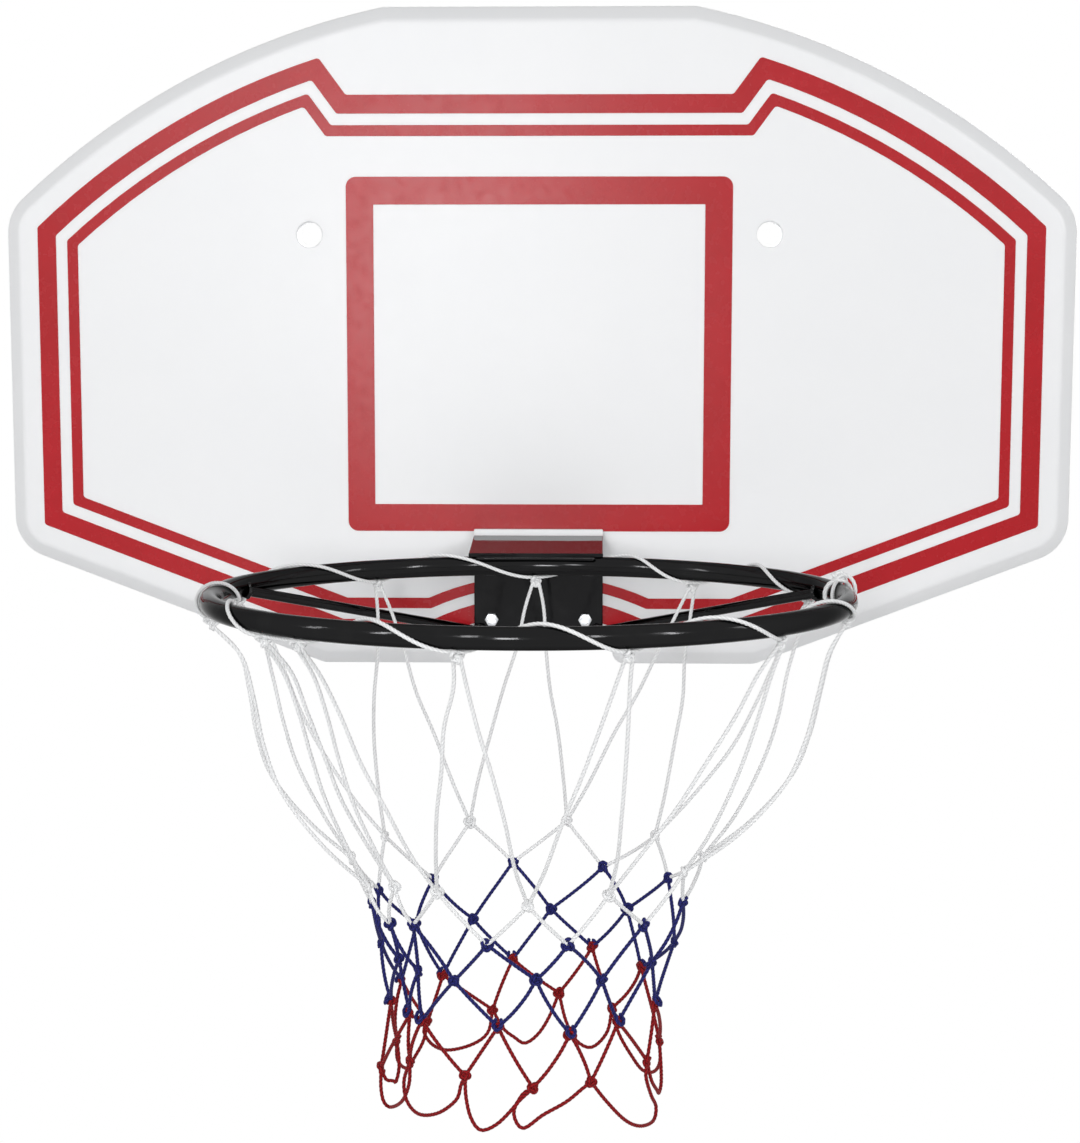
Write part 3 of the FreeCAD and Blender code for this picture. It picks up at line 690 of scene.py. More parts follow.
class Draft:
    """Points and faces of one piece, gathered loop by loop."""

    SHARP = 35.0
    WELD = 1e-7

    def __init__(self) -> None:
        """Starts with nothing."""
        self.points: list[Sequence[float]] = []
        self.faces: list[tuple[int, ...]] = []

    def loop(self, points: Iterable[Sequence[float]]) -> Loop:
        """Adds points.

        Args:
            points: The points.

        Returns:
            Their numbers.
        """
        start = len(self.points)
        self.points.extend(tuple(point) for point in points)
        return list(range(start, len(self.points)))

    def upright(self, outline: Iterable[Vector], y: float, x: float = 0.0, z: float = 0.0) -> Loop:
        """Adds a flat outline, given as x and z and moved by as much, in a plane of constant y."""
        return self.loop((point.x + x, y, point.y + z) for point in outline)

    def bridge(self, loops: Sequence[Loop], around: bool = False) -> None:
        """Joins closed loops of as many points with bands of faces.

        Args:
            loops: The loops, in order.
            around: Whether the last loop is joined to the first.
        """
        following = list(loops[1:]) + ([loops[0]] if around else [])
        for first, second in zip(loops, following):
            count = len(first)
            for i in range(count):
                after = (i + 1) % count
                self.faces.append((first[i], first[after], second[after], second[i]))

    def stack(self, levels: Iterable[tuple[Iterable[Vector], float]], x: float = 0.0, z: float = 0.0,
              around: bool = False) -> tuple[Loop, Loop]:
        """Adds flat outlines of as many points, one behind another, and joins them.

        Args:
            levels: Each outline, as x and z, with the y of its plane.
            x: How far they are moved along X.
            z: How far they are moved along Z.
            around: Whether the last outline is joined to the first.

        Returns:
            The first and the last loop.
        """
        loops = [self.upright(outline, y, x, z) for outline, y in levels]
        self.bridge(loops, around)
        return loops[0], loops[-1]

    def tube(self, profile: Iterable[Pair], x: float, z: float, steps: int, around: bool = False
             ) -> tuple[Loop, Loop]:
        """Adds a stack of circles about an axis along Y, each given by its radius and its y."""
        return self.stack([(circle(radius, steps), y) for radius, y in profile], x, z, around)

    def cap(self, loop: Loop) -> None:
        """Closes a flat loop with one face."""
        self.faces.append(tuple(loop))

    def fill(self, outer: Loop, holes: Sequence[Loop] = ()) -> None:
        """Closes an upright loop, leaving holes open.

        Args:
            outer: The outer loop.
            holes: The loops of the holes.
        """
        loops = [outer, *holes]
        numbers = [number for loop in loops for number in loop]
        flat = [Vector((self.points[i][0], self.points[i][2])) for i in numbers]
        edges = []
        outlines = []
        start = 0
        for loop in loops:
            count = len(loop)
            edges += [(start + i, start + (i + 1) % count) for i in range(count)]
            outlines.append(flat[start:start + count])
            start += count
        places, _, triangles, sources, _, _ = delaunay_2d_cdt(flat, edges, [], 0, self.WELD)
        for triangle in triangles:
            middle = sum((places[i] for i in triangle), Vector((0.0, 0.0))) / 3
            if is_inside(middle, outlines[0]) and not any(is_inside(middle, hole) for hole in outlines[1:]):
                self.faces.append(tuple(numbers[sources[i][0]] for i in triangle))

    def sweep(self, path: np.ndarray, outline: Sequence[Vector],
              scales: Sequence[float] | None = None) -> None:
        """Draws a closed outline along a path and closes both ends.

        Args:
            path: The path's points.
            outline: The section's points.
            scales: The section's size at each point of the path, 1 where not given.
        """
        _, normals, sides = carried_frames(path)
        if scales is None:
            scales = np.ones(len(path))
        loops = []
        for place, normal, side, scale in zip(path, normals, sides, scales):
            loops.append(self.loop(place + (normal * point.x + side * point.y) * scale for point in outline))
        self.bridge(loops)
        self.cap(loops[0])
        self.cap(loops[-1])

    def piece(self, name: str, sharp: float | None = None) -> bpy.types.Object:
        """Makes the piece.

        Args:
            name: The piece's name.
            sharp: The angle in degrees above which an edge is sharp, if not the usual one.

        Returns:
            The piece, linked to the scene.
        """
        mesh = bpy.data.meshes.new(name)
        mesh.from_pydata(self.points, [], self.faces)
        self.orient(mesh)
        mesh.shade_smooth()
        mesh.set_sharp_from_angle(angle=math.radians(self.SHARP if sharp is None else sharp))
        piece = bpy.data.objects.new(name, mesh)
        bpy.context.scene.collection.objects.link(piece)
        return piece

    def orient(self, mesh: bpy.types.Mesh) -> None:
        """Turns all faces outwards.

        Args:
            mesh: The piece's mesh.
        """
        work = bmesh.new()
        work.from_mesh(mesh)
        bmesh.ops.recalc_face_normals(work, faces=work.faces)
        work.to_mesh(mesh)
        work.free()


def carried_frames(path: np.ndarray, steep: float = 0.8) -> tuple[np.ndarray, np.ndarray, np.ndarray]:
    """Directions along and across a path, carried on without twist.

    Args:
        path: The path's points.
        steep: The rise above which a path counts as upright.

    Returns:
        The direction of the path at each point, and two directions square to it.
    """
    ahead = np.gradient(path, axis=0)
    ahead /= np.linalg.norm(ahead, axis=1)[:, None]
    reference = (0.0, 0.0, 1.0) if abs(ahead[0][2]) < steep else (1.0, 0.0, 0.0)
    normal = np.cross(ahead[0], reference)
    normals = np.empty_like(path)
    for i, direction in enumerate(ahead):
        normal = normal - direction * normal.dot(direction)
        normal /= np.linalg.norm(normal)
        normals[i] = normal
    return ahead, normals, np.cross(ahead, normals)


def smooth(points: Sequence[Sequence[float]], samples: int = 16) -> np.ndarray:
    """Smooth line through given points, of any dimension.

    Args:
        points: The points.
        samples: How many steps there are from one point to the next.

    Returns:
        The line's points.
    """
    knots = np.array(points, float)
    padded = np.vstack((2 * knots[0] - knots[1], knots, 2 * knots[-1] - knots[-2]))
    share = np.linspace(0, 1, samples, endpoint=False)[:, None]
    spans = []
    for a, b, c, d in zip(padded, padded[1:], padded[2:], padded[3:]):
        square = (2 * a - 5 * b + 4 * c - d) * share ** 2
        cube = (3 * b - a - 3 * c + d) * share ** 3
        spans.append((2 * b + (c - a) * share + square + cube) / 2)
    return np.vstack(spans + [knots[-1:]])


def travelled(line: np.ndarray) -> np.ndarray:
    """Distance along a line at each of its points."""
    return np.concatenate(([0.0], np.cumsum(np.linalg.norm(np.diff(line, axis=0), axis=1))))


def evenly(line: np.ndarray, step: float, fewest: int = 4) -> np.ndarray:
    """Points on a line at even steps of about a given length.

    Args:
        line: The line's points.
        step: The length of a step.
        fewest: The least number of steps.

    Returns:
        The points.
    """
    along = travelled(line)
    places = np.linspace(0, along[-1], max(round(along[-1] / step), fewest) + 1)
    return np.column_stack([np.interp(places, along, line[:, axis]) for axis in range(3)])


class CordDraft(Draft):
    """Lengths of twisted cord, with the lay of its strands kept at each point for the painted shade between
    the strands.
    """

    SHARP = 80.0
    LAY = "groove_shade_lay"
    RADIUS = 0.0015
    SIDES = 12
    STRANDS = 3
    LAY_LENGTH = 0.0105
    STRAND_DEPTH = 0.1
    STEP = 0.0011
    END_SCALE = 0.6
    KNOT_TILT = 0.4
    KNOT_RISE = 0.36
    KNOT_STEPS = 40
    HITCH_LEAN = 0.35
    # Points of a hitch, as shares of the knot's size: aside, outward and up.
    HITCH_SHARES = ((-0.45, 0.0, 1.7), (-0.8, 0.75, 0.5), (0.0, 1.15, -0.35), (0.8, 0.75, 0.5),
                    (0.45, 0.0, 1.7))

    def __init__(self, seed: int) -> None:
        """Starts with nothing.

        Args:
            seed: What the cord's small chances are drawn from.
        """
        super().__init__()
        self.crests: list[np.ndarray] = []
        self.chance = random.Random(seed)

    def cord(self, line: np.ndarray) -> None:
        """Adds one length of cord.

        Args:
            line: The line that it follows.
        """
        path = evenly(line, self.STEP)
        _, normals, sides = carried_frames(path)
        along = np.arange(len(path)) * np.linalg.norm(path[1] - path[0])
        around = FULL_TURN * np.arange(self.SIDES) / self.SIDES
        twist = FULL_TURN * along / self.LAY_LENGTH + self.chance.uniform(0, FULL_TURN)
        crest = (1 + np.cos(self.STRANDS * (around[None, :] - twist[:, None]))) / 2
        reach = self.RADIUS * (1 - 2 * self.STRAND_DEPTH * (1 - crest))
        reach[0] *= self.END_SCALE
        reach[-1] *= self.END_SCALE
        across = normals[:, None, :] * np.cos(around)[None, :, None]
        across = across + sides[:, None, :] * np.sin(around)[None, :, None]
        loops = [self.loop(points) for points in path[:, None, :] + across * reach[:, :, None]]
        # The crest share is kept for the painted shade in the grooves between the strands.
        self.crests.append(crest.reshape(-1))
        self.bridge(loops)
        self.cap(loops[0][::-1])
        self.cap(loops[-1])

    def knot(self, centre: Vector, outward: Vector, size: float) -> None:
        """Adds a drawn-up knot, shaped as a trefoil.

        Args:
            centre: The knot's middle.
            outward: The direction that its broad side faces.
            size: Half the knot's width, to the middle of the cord.
        """
        tilt = Vector([self.chance.uniform(-self.KNOT_TILT, self.KNOT_TILT) for _ in range(3)])
        normal = (outward.normalized() + tilt).normalized()
        spin = Matrix.Rotation(self.chance.uniform(0, FULL_TURN), 3, normal)
        across = spin @ normal.orthogonal().normalized()
        upward = normal.cross(across)
        points = [centre]
        for i in range(self.KNOT_STEPS + 1):
            turn = math.pi / 3 + FULL_TURN * i / self.KNOT_STEPS
            reach = (2 + math.cos(3 * turn)) / 3 * size
            place = across * (reach * math.cos(2 * turn)) + upward * (reach * math.sin(2 * turn))
            points.append(centre + place + normal * (size * self.KNOT_RISE * math.sin(3 * turn)))
        points.append(centre)
        self.cord(np.array(points))

    def hitch(self, centre: Vector, outward: Vector, size: float) -> None:
        """Adds the bight of the cord above that is drawn tight over a knot.

        Args:
            centre: The knot's middle.
            outward: The direction that its broad side faces.
            size: Half the knot's width.
        """
        left = aside(outward).normalized()
        lean = self.chance.uniform(-self.HITCH_LEAN, self.HITCH_LEAN)
        points = []
        for side, front, rise in self.HITCH_SHARES:
            points.append(centre + (left * (side + lean * rise) + outward * front + UP * rise) * size)
        self.cord(smooth(points))

    def orient(self, mesh: bpy.types.Mesh) -> None:
        """Keeps the faces, which are made facing outwards, and notes the lay of the strands, from which the
        finish paints shade between them.
        """
        values = np.concatenate(self.crests).astype(np.float32)
        mesh.attributes.new(self.LAY, "FLOAT", "POINT").data.foreach_set("value", values)


@dataclass
class PhotoCamera:
    """Where the photograph was taken from, and its frame in pixels."""

    place: Triple = (0.05336, -2.32467, -0.04369)
    yaw: float = math.radians(1.772)
    pitch: float = math.radians(8.313)
    focal: float = 2696.4
    middle: Pixel = (517.9, 681.1)
    frame: Pixel = (1080.0, 1143.0)
    sensor: float = 36.0

    def axes(self) -> tuple[Vector, Vector, Vector]:
        """The camera's directions to the right, up and forward.

        Returns:
            The three directions.
        """
        level = math.cos(self.pitch)
        forward = Vector((-math.sin(self.yaw) * level, math.cos(self.yaw) * level, -math.sin(self.pitch)))
        right = Vector((math.cos(self.yaw), math.sin(self.yaw), 0.0))
        return right, right.cross(forward), forward

    def build(self) -> None:
        """Makes the scene's camera."""
        right, up, forward = self.axes()
        data = bpy.data.cameras.new("photo camera")
        longest = max(self.frame)
        data.sensor_width = self.sensor
        data.lens = self.focal * self.sensor / longest
        data.shift_x = (self.frame[0] / 2 - self.middle[0]) / longest
        data.shift_y = (self.middle[1] - self.frame[1] / 2) / longest
        camera = bpy.data.objects.new("photo camera", data)
        turn = Matrix((right, up, -forward)).transposed().to_4x4()
        camera.matrix_world = Matrix.Translation(self.place) @ turn
        bpy.context.scene.collection.objects.link(camera)
        bpy.context.scene.camera = camera

    def on_round(self, pixel: Pixel, centre: Vector, radius: float, near: bool) -> Vector:
        """Where a pixel's line of sight meets an upright cylinder, or passes it most closely.

        Args:
            pixel: The pixel.
            centre: A point on the cylinder's axis.
            radius: The cylinder's radius.
            near: Whether the nearer side is meant.

        Returns:
            The point.
        """
        right, up, forward = self.axes()
        aside = (pixel[0] - self.middle[0]) / self.focal
        rise = (self.middle[1] - pixel[1]) / self.focal
        sight = forward + right * aside + up * rise
        start = Vector(self.place)
        flat = (start - centre).to_2d()
        run = sight.to_2d()
        closest = -flat.dot(run) / run.length_squared
        spare = radius ** 2 - (flat + run * closest).length_squared
        half = math.sqrt(max(spare, 0.0)) / run.length
        return start + sight * (closest - half if near else closest + half)


@dataclass(frozen=True)
class Lamp:
    """A soft rectangular studio lamp."""

    name: str
    place: Triple
    target: Triple
    size: Pair
    power: float

    def build(self) -> None:
        """Makes the lamp."""
        data = bpy.data.lights.new(self.name, "AREA")
        data.shape = "RECTANGLE"
        data.size, data.size_y = self.size
        data.energy = self.power
        lamp = bpy.data.objects.new(self.name, data)
        lamp.location = self.place
        lamp.rotation_euler = (Vector(self.target) - Vector(self.place)).to_track_quat("-Z", "Y").to_euler()
        bpy.context.scene.collection.objects.link(lamp)


@dataclass
class Studio:
    """Pale floor, white surround and soft lamps."""

    floor_height: float = -1.35
    floor_radius: float = 4.0
    floor_sides: int = 64
    shadow_radius: float = 0.55
    fade_radius: float = 1.05
    floor_glow: float = 0.45
    floor_colour: Colour = (0.75, 0.75, 0.75)
    ambient: float = 0.31
    lamp_target: Triple = (0.0, -0.353, -0.27)
    lamp_reach: float = 2.9
    strip_size: Pair = (0.2, 0.8)
    strip_rise: float = 20.0
    strips: tuple[Pair, ...] = ((-75.0, 6.0), (-48.0, 12.0), (-18.0, 8.0), (24.0, 10.0), (50.0, 13.0),
                                (80.0, 5.0))
    key_size: Pair = (0.3, 0.7)
    key_turn: float = -5.5
    key_rise: float = 6.0
    key_power: float = 20.0
    back_lamp: Lamp = Lamp("back lamp", (0.6, 3.2, 0.5), (0.0, 0.0, -0.1), (2.4, 2.0), 60.0)

    def build(self) -> None:
        """Makes the surround, the floor and the lamps."""
        bpy.context.scene.view_settings.view_transform = "Standard"
        self.surround()
        self.floor()
        for number, (turn, power) in enumerate(self.strips):
            self.lamp("strip lamp %d" % (number + 1), turn, self.strip_rise, self.strip_size, power).build()
        self.lamp("key lamp", self.key_turn, self.key_rise, self.key_size, self.key_power).build()
        self.back_lamp.build()

    def lamp(self, name: str, turn: float, rise: float, size: Pair, power: float) -> Lamp:
        """A lamp in front of the ring.

        Args:
            name: The lamp's name.
            turn: How many degrees it stands to the right of the ring.
            rise: How many degrees it stands above the ring.
            size: Its width and height.
            power: Its power in watts.

        Returns:
            The lamp.
        """
        across = math.radians(turn)
        up = math.radians(rise)
        level = Vector((math.sin(across), -math.cos(across), 0.0)) * math.cos(up)
        place = Vector(self.lamp_target) + (level + UP * math.sin(up)) * self.lamp_reach
        return Lamp(name, tuple(place), self.lamp_target, size, power)

    def surround(self) -> None:
        """White where it is seen, dimmer as light."""
        world = bpy.data.worlds.new("studio surround")
        world.use_nodes = True
        work = NodeWork(world.node_tree)
        light = work.add("ShaderNodeBackground", {"Color": WHITE, "Strength": self.ambient})
        white = work.add("ShaderNodeBackground", {"Color": WHITE})
        work.add("ShaderNodeOutputWorld", {"Surface": work.mixed(work.seen_directly(), light, white)})
        bpy.context.scene.world = world

    def floor(self) -> None:
        """Round pale floor that keeps the shadow under the object and fades to white."""
        draft = Draft()
        rim = circle(self.floor_radius, self.floor_sides)
        draft.cap(draft.loop((point.x, point.y, self.floor_height) for point in rim))
        floor = draft.piece("floor")
        floor.data.materials.append(self.paper())
        floor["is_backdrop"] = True

    def paper(self) -> bpy.types.Material:
        """The floor's material.

        Returns:
            The material.
        """
        shader = Shader("pale floor")
        diffuse = shader.add("ShaderNodeBsdfDiffuse", {"Color": self.floor_colour})
        white = shader.add("ShaderNodeEmission", {})
        flat = shader.add("ShaderNodeVectorMath", {0: shader.place, 1: (1.0, 1.0, 0.0)}, operation="MULTIPLY")
        reach = shader.add("ShaderNodeVectorMath", {0: flat.outputs[0]}, operation="LENGTH").outputs["Value"]
        fade = shader.span(reach, (self.floor_glow, 1.0), (self.shadow_radius, self.fade_radius))
        seen = shader.add("ShaderNodeMath", {0: fade, 1: shader.seen_directly()}, operation="MULTIPLY")
        shader.feed(shader.output, {"Surface": shader.mixed(seen.outputs[0], diffuse, white)})
        shader.tree.nodes.remove(shader.surface)
        return shader.material


@dataclass
class BoardOutline:
    """Front outline of the board, the same on both sides, which can be drawn further in from its rim."""

    half_width: float
    top: float
    bottom: float
    shoulder_radius: float = 0.648
    crown_cut_off: float = 0.0134
    shoulder_corner: float = 0.040
    foot_height: float = 0.101
    foot_radius: float = 0.036
    bottom_half_width: float = 0.186
    toe_radius: float = 0.020
    notch_half_width: float = 0.064
    notch_height: float = 0.018
    notch_corner: float = 0.007
    notch_mouth: float = 0.009
    least_radius: float = 0.0004
    shoulder_steps: int = 40
    corner_steps: int = 10

    @property
    def shoulder_centre(self) -> float:
        """Height of the middle of the shoulders' circle."""
        return self.top + self.crown_cut_off - self.shoulder_radius

    def upper_edge(self, x: float) -> float:
        """Height of the upper edge at x."""
        return min(self.top, self.shoulder_centre + math.sqrt(self.shoulder_radius ** 2 - x ** 2))

    @property
    def foot_slope(self) -> float:
        """Rise of the slanted lower edge for each metre to the side."""
        return self.foot_height / (self.half_width - self.bottom_half_width)

    def lower_edge(self, x: float, inset: float = 0.0) -> float:
        """Height of the slanted lower edge, moved inwards, at x."""
        lift = inset * math.hypot(1.0, self.foot_slope)
        return self.bottom + (x - self.bottom_half_width) * self.foot_slope + lift

    def toe(self, inset: float) -> Vector:
        """Where the slanted edge meets the bottom edge, both moved inwards."""
        low = self.bottom + inset
        return Vector(((low - self.lower_edge(0.0, inset)) / self.foot_slope, low))

    def right_half(self, inset: float) -> list[Vector]:
        """Right half of the outline, from the top to the notch.

        Args:
            inset: How far it is drawn in from the rim.

        Returns:
            The points, as x and z.
        """
        centre = self.shoulder_centre
        shoulder = self.shoulder_radius - inset
        start = math.acos((self.top - inset - centre) / shoulder)
        corner_x = self.half_width - self.shoulder_corner
        finish = math.asin(corner_x / (self.shoulder_radius - self.shoulder_corner))
        corner_z = centre + (self.shoulder_radius - self.shoulder_corner) * math.cos(finish)
        steps = self.corner_steps
        points = leaning_arc(0.0, centre, shoulder, (start, finish), self.shoulder_steps)
        small = self.shoulder_corner - inset
        points += leaning_arc(corner_x, corner_z, small, (finish, QUARTER_TURN), steps)[1:]
        side = self.half_width - inset
        foot = Vector((side, self.lower_edge(side, inset)))
        toe = self.toe(inset)
        mouth = Vector((self.notch_half_width + inset, self.bottom + inset))
        points += fillet(foot, points[-1], toe, self.foot_radius - inset, steps)
        points += fillet(toe, foot, mouth, self.toe_radius - inset, steps)
        return points + self.notch_side(inset, toe, mouth)

    def notch_side(self, inset: float, toe: Vector, mouth: Vector) -> list[Vector]:
        """Right side of the notch, from its mouth to its upper corner.

        Args:
            inset: How far the outline is drawn in from the rim.
            toe: The corner before the mouth.
            mouth: The sharp corner of the mouth.

        Returns:
            The points, as x and z.
        """
        steps = self.corner_steps
        radius = self.notch_corner + inset
        corner_x = self.notch_half_width - self.notch_corner
        corner_z = self.bottom + self.notch_height - self.notch_corner
        lift = mouth.y - corner_z
        if lift > 0:
            start = math.asin(lift / radius)
            end_x = corner_x + radius * math.cos(start)
            points = [Vector((end_x + self.least_radius * (steps + 1 - i), mouth.y))
                      for i in range(steps + 1)]
        else:
            start = 0.0
            crest = Vector((mouth.x, corner_z + radius))
            points = fillet(mouth, toe, crest, max(self.notch_mouth - inset, self.least_radius), steps)
        for i in range(steps + 1):
            lean = start + (QUARTER_TURN - start) * i / steps
            points.append(Vector((corner_x + radius * math.cos(lean), corner_z + radius * math.sin(lean))))
        return points

    def whole(self, inset: float) -> list[Vector]:
        """The closed outline, drawn in from the rim."""
        right = self.right_half(inset)
        return right + [Vector((-point.x, point.y)) for point in reversed(right)]


@dataclass
class Board:
    """Hollow moulded board with its printed bands."""

    front_bevel: Pair = (0.012, 0.012)
    rear_bevel: float = 0.004
    rim_radii: tuple[float, ...] = (0.006, 0.006, 0.003, 0.003)
    rim_steps: int = 5
    seam_width: float = 0.0016
    seam_height: float = 0.0004
    seam_shares: tuple[Pair, ...] = ((3.0, 0.0), (3.3, 0.8), (3.5, 1.0), (3.7, 0.8), (4.0, 0.0))
    flat_margin: float = 0.0165
    back_margin: float = 0.0056
    hole_radius: float = 0.0105
    hole_spacing: float = 0.387
    groove_shares: tuple[float, ...] = (0.26, 0.62, 0.79)
    groove_half_width: float = 0.012
    groove_floor_half_width: float = 0.006
    groove_end_margin: float = 0.050
    groove_corner: float = 0.006
    groove_taper_share: float = 0.95
    floor_depth: float = 0.022
    floor_round_shares: Pair = (0.4, 0.3)
    pocket_radius: float = 0.0135
    pocket_floor_radius: float = 0.0115
    bolt_hole_radius: float = 0.0035
    mouth_round: float = 0.0012
    mouth_steps: int = 4
    hole_steps: int = 40
    sharp: float = 40.0
    ink_corners: tuple[tuple[str, float], ...] = (("target_band", 0.0006), ("outer_border_band", 0.0035),
                                                  ("inner_border_band", 0.0035))
    ink_edge: float = 0.0003
    ink_turn: float = math.radians(18.0)
    ink_sharp: float = 12.0

    def build(self, nodes: dict[str, bpy.types.Object], bolts: Sequence[Pair]) -> None:
        """Makes the board and dresses its bands.

        Args:
            nodes: The CAD nodes by name.
            bolts: The bolt axes, as x and z.
        """
        low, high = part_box("board_shell")
        self.front = low.y
        self.back = high.y
        self.outline = BoardOutline(high.x, high.z, low.z)
        self.draft = Draft()
        front, back = self.rim()
        holes = self.wall_holes() + self.pockets(bolts)
        self.draft.fill(front, [ahead for ahead, _ in holes])
        self.draft.fill(back, [behind for _, behind in holes] + self.grooves())
        dress(self.draft.piece("moulded_board", self.sharp), BOARD_PLASTIC, Body.BOARD, "board_shell")
        for name, corner in self.ink_corners:
            self.band(name, nodes[name], corner)

    def band(self, name: str, node: bpy.types.Object, corner: float) -> None:
        """Makes one printed band, with the small round corners and soft edge that ink has.

        Args:
            name: The CAD node's name.
            node: The CAD node.
            corner: The radius of its corners.
        """
        low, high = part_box(name)
        draft = Draft()
        edge = self.ink_edge
        middle = edge * ROUND_SHARE
        levels = ((0.0, high.y), (0.0, low.y + edge), (middle, low.y + middle), (edge, low.y))
        rims = []
        for outline in front_outlines(node, low.y):
            line = round_corners(outline, corner, self.ink_turn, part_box("bracket_plate"))
            rims.append(draft.stack([(drawn_in(line, inset), y) for inset, y in levels]))
        for outer, *holes in zip(*rims):
            draft.fill(outer, holes)
        dress(draft.piece("printed_" + name, self.ink_sharp), BAND_INK, Body.BOARD, name)

    def rim(self) -> tuple[Loop, Loop]:
        """Makes the rounded rim, with the fine ridge that the mould's parting leaves on it.

        Returns:
            The inner loops of the rim on the front and on the back.
        """
        width, depth = self.front_bevel
        thickness = self.back - self.front
        corners = ((self.flat_margin, 0.0), (width, 0.0), (0.0, depth), (0.0, thickness - self.rear_bevel),
                   (self.rear_bevel, thickness), (self.back_margin, thickness))
        profile = rounded_line(corners, self.rim_radii, self.rim_steps)
        past_bevel = 1 + 2 * (self.rim_steps + 1)
        seam = [Vector((-self.seam_height * lift, depth + self.seam_width * step))
                for step, lift in self.seam_shares]
        profile[past_bevel:past_bevel] = seam
        return self.draft.stack([(self.outline.whole(point.x), self.front + point.y) for point in profile])

    def mouth(self, depth: float) -> list[Pair]:
        """Rounded mouth of a recess: how far each loop lies outside the wall and below the surface.

        Args:
            depth: The depth of the last loop.

        Returns:
            Both distances, loop by loop.
        """
        turns = [QUARTER_TURN * i / self.mouth_steps for i in range(self.mouth_steps + 1)]
        small = self.mouth_round
        rounded = [(small * (1 - math.sin(turn)), small * (1 - math.cos(turn))) for turn in turns]
        return [(2 * small, 0.0)] + rounded + [(0.0, depth)]

    def floor(self, wall: float) -> list[Pair]:
        """Rounded edge of a recess's floor, inside a given wall: the place of each loop and its depth.

        Args:
            wall: The place of the wall.

        Returns:
            Place and depth, loop by loop.
        """
        small = self.mouth_round
        aside, above = self.floor_round_shares
        return [(wall - small * aside, self.floor_depth - small * above), (wall - small, self.floor_depth)]

    def wall_holes(self) -> list[tuple[Loop, Loop]]:
        """Makes the two holes for the wall screws.

        Returns:
            The mouths of each on the front and on the back.
        """
        profile = self.mouth((self.back - self.front) / 2)
        levels = [(self.hole_radius + wider, self.front + deep) for wider, deep in profile]
        levels += [(self.hole_radius + wider, self.back - deep) for wider, deep in reversed(profile[:-1])]
        half = self.hole_spacing / 2
        return [self.draft.tube(levels, x, 0.0, self.hole_steps) for x in (-half, half)]

    def pockets(self, bolts: Sequence[Pair]) -> list[tuple[Loop, Loop]]:
        """Makes the tapered pockets behind the bolts, with the bolt holes.

        Args:
            bolts: The bolt axes, as x and z.

        Returns:
            The bolt hole on the front and the pocket's mouth on the back, for each bolt.
        """
        small = self.mouth_round
        profile = [(self.pocket_radius + wider, deep) for wider, deep in self.mouth(small)[1:-1]]
        profile.append((self.pocket_floor_radius, self.floor_depth - small))
        profile += self.floor(self.pocket_floor_radius)
        profile.append((self.bolt_hole_radius, self.floor_depth))
        levels = [(reach, self.back - deep) for reach, deep in profile]
        levels.append((self.bolt_hole_radius, self.front))
        return [self.draft.tube(levels, x, z, self.hole_steps)[::-1] for x, z in bolts]

    def grooves(self) -> list[Loop]:
        """Makes the tapered grooves in the back that pull the two walls together.

        Returns:
            Their mouths.
        """
        mouths = []
        small = self.mouth_round
        taper = self.groove_half_width - self.groove_floor_half_width
        profile = self.mouth(small)[:-1]
        profile.append((-taper * self.groove_taper_share, self.floor_depth - small))
        profile += self.floor(-taper)
        for x in [side * share * self.outline.half_width for side in (-1, 1) for share in self.groove_shares]:
            bottom = max(self.outline.bottom, self.outline.lower_edge(abs(x))) + self.groove_end_margin
            top = self.outline.upper_edge(x) - self.groove_end_margin
            levels = []
            for wider, deep in profile:
                corner = max(self.groove_corner + wider, small)
                shape = rounded_rectangle(self.groove_half_width + wider, (top - bottom) / 2 + wider, corner)
                levels.append((shape, self.back - deep))
            mouth, floor = self.draft.stack(levels, x, (top + bottom) / 2)
            self.draft.cap(floor)
            mouths.append(mouth)
        return mouths


@dataclass
class Hoop:
    """Painted steel ring of round rod, measured from its CAD solid."""

    around_steps: int = 240
    rod_steps: int = 28
    sharp: float = 60.0

    def __post_init__(self) -> None:
        """Measures the ring."""
        low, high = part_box("ring_rod")
        self.centre = (low + high) / 2
        self.rod = (high.z - low.z) / 2
        self.radius = (high.x - low.x) / 2 - self.rod

    def at(self, degrees: float, reach: float, z: float) -> Vector:
        """Point at an angle from +X about the ring's axis, at a distance from it and a height."""
        turn = math.radians(degrees)
        return Vector((reach * math.cos(turn), self.centre.y + reach * math.sin(turn), z))

    def outward(self, degrees: float) -> Vector:
        """Level direction away from the ring's axis."""
        turn = math.radians(degrees)
        return Vector((math.cos(turn), math.sin(turn), 0.0))

    def on_rod(self, degrees: float, swing: float, reach: float) -> Vector:
        """Point beside the rod's middle line: swing is the angle about it, from outward towards up."""
        turn = math.radians(swing)
        return self.at(degrees, self.radius + reach * math.cos(turn), self.centre.z + reach * math.sin(turn))

    def build(self) -> None:
        """Makes the ring."""
        draft = Draft()
        swings = [360 * i / self.rod_steps for i in range(self.rod_steps)]
        loops = []
        for i in range(self.around_steps):
            degrees = 360 * i / self.around_steps
            loops.append(draft.loop(self.on_rod(degrees, swing, self.rod) for swing in swings))
        draft.bridge(loops, True)
        dress(draft.piece("ring", self.sharp), STEEL_PAINT, Body.BOARD, "ring_rod")


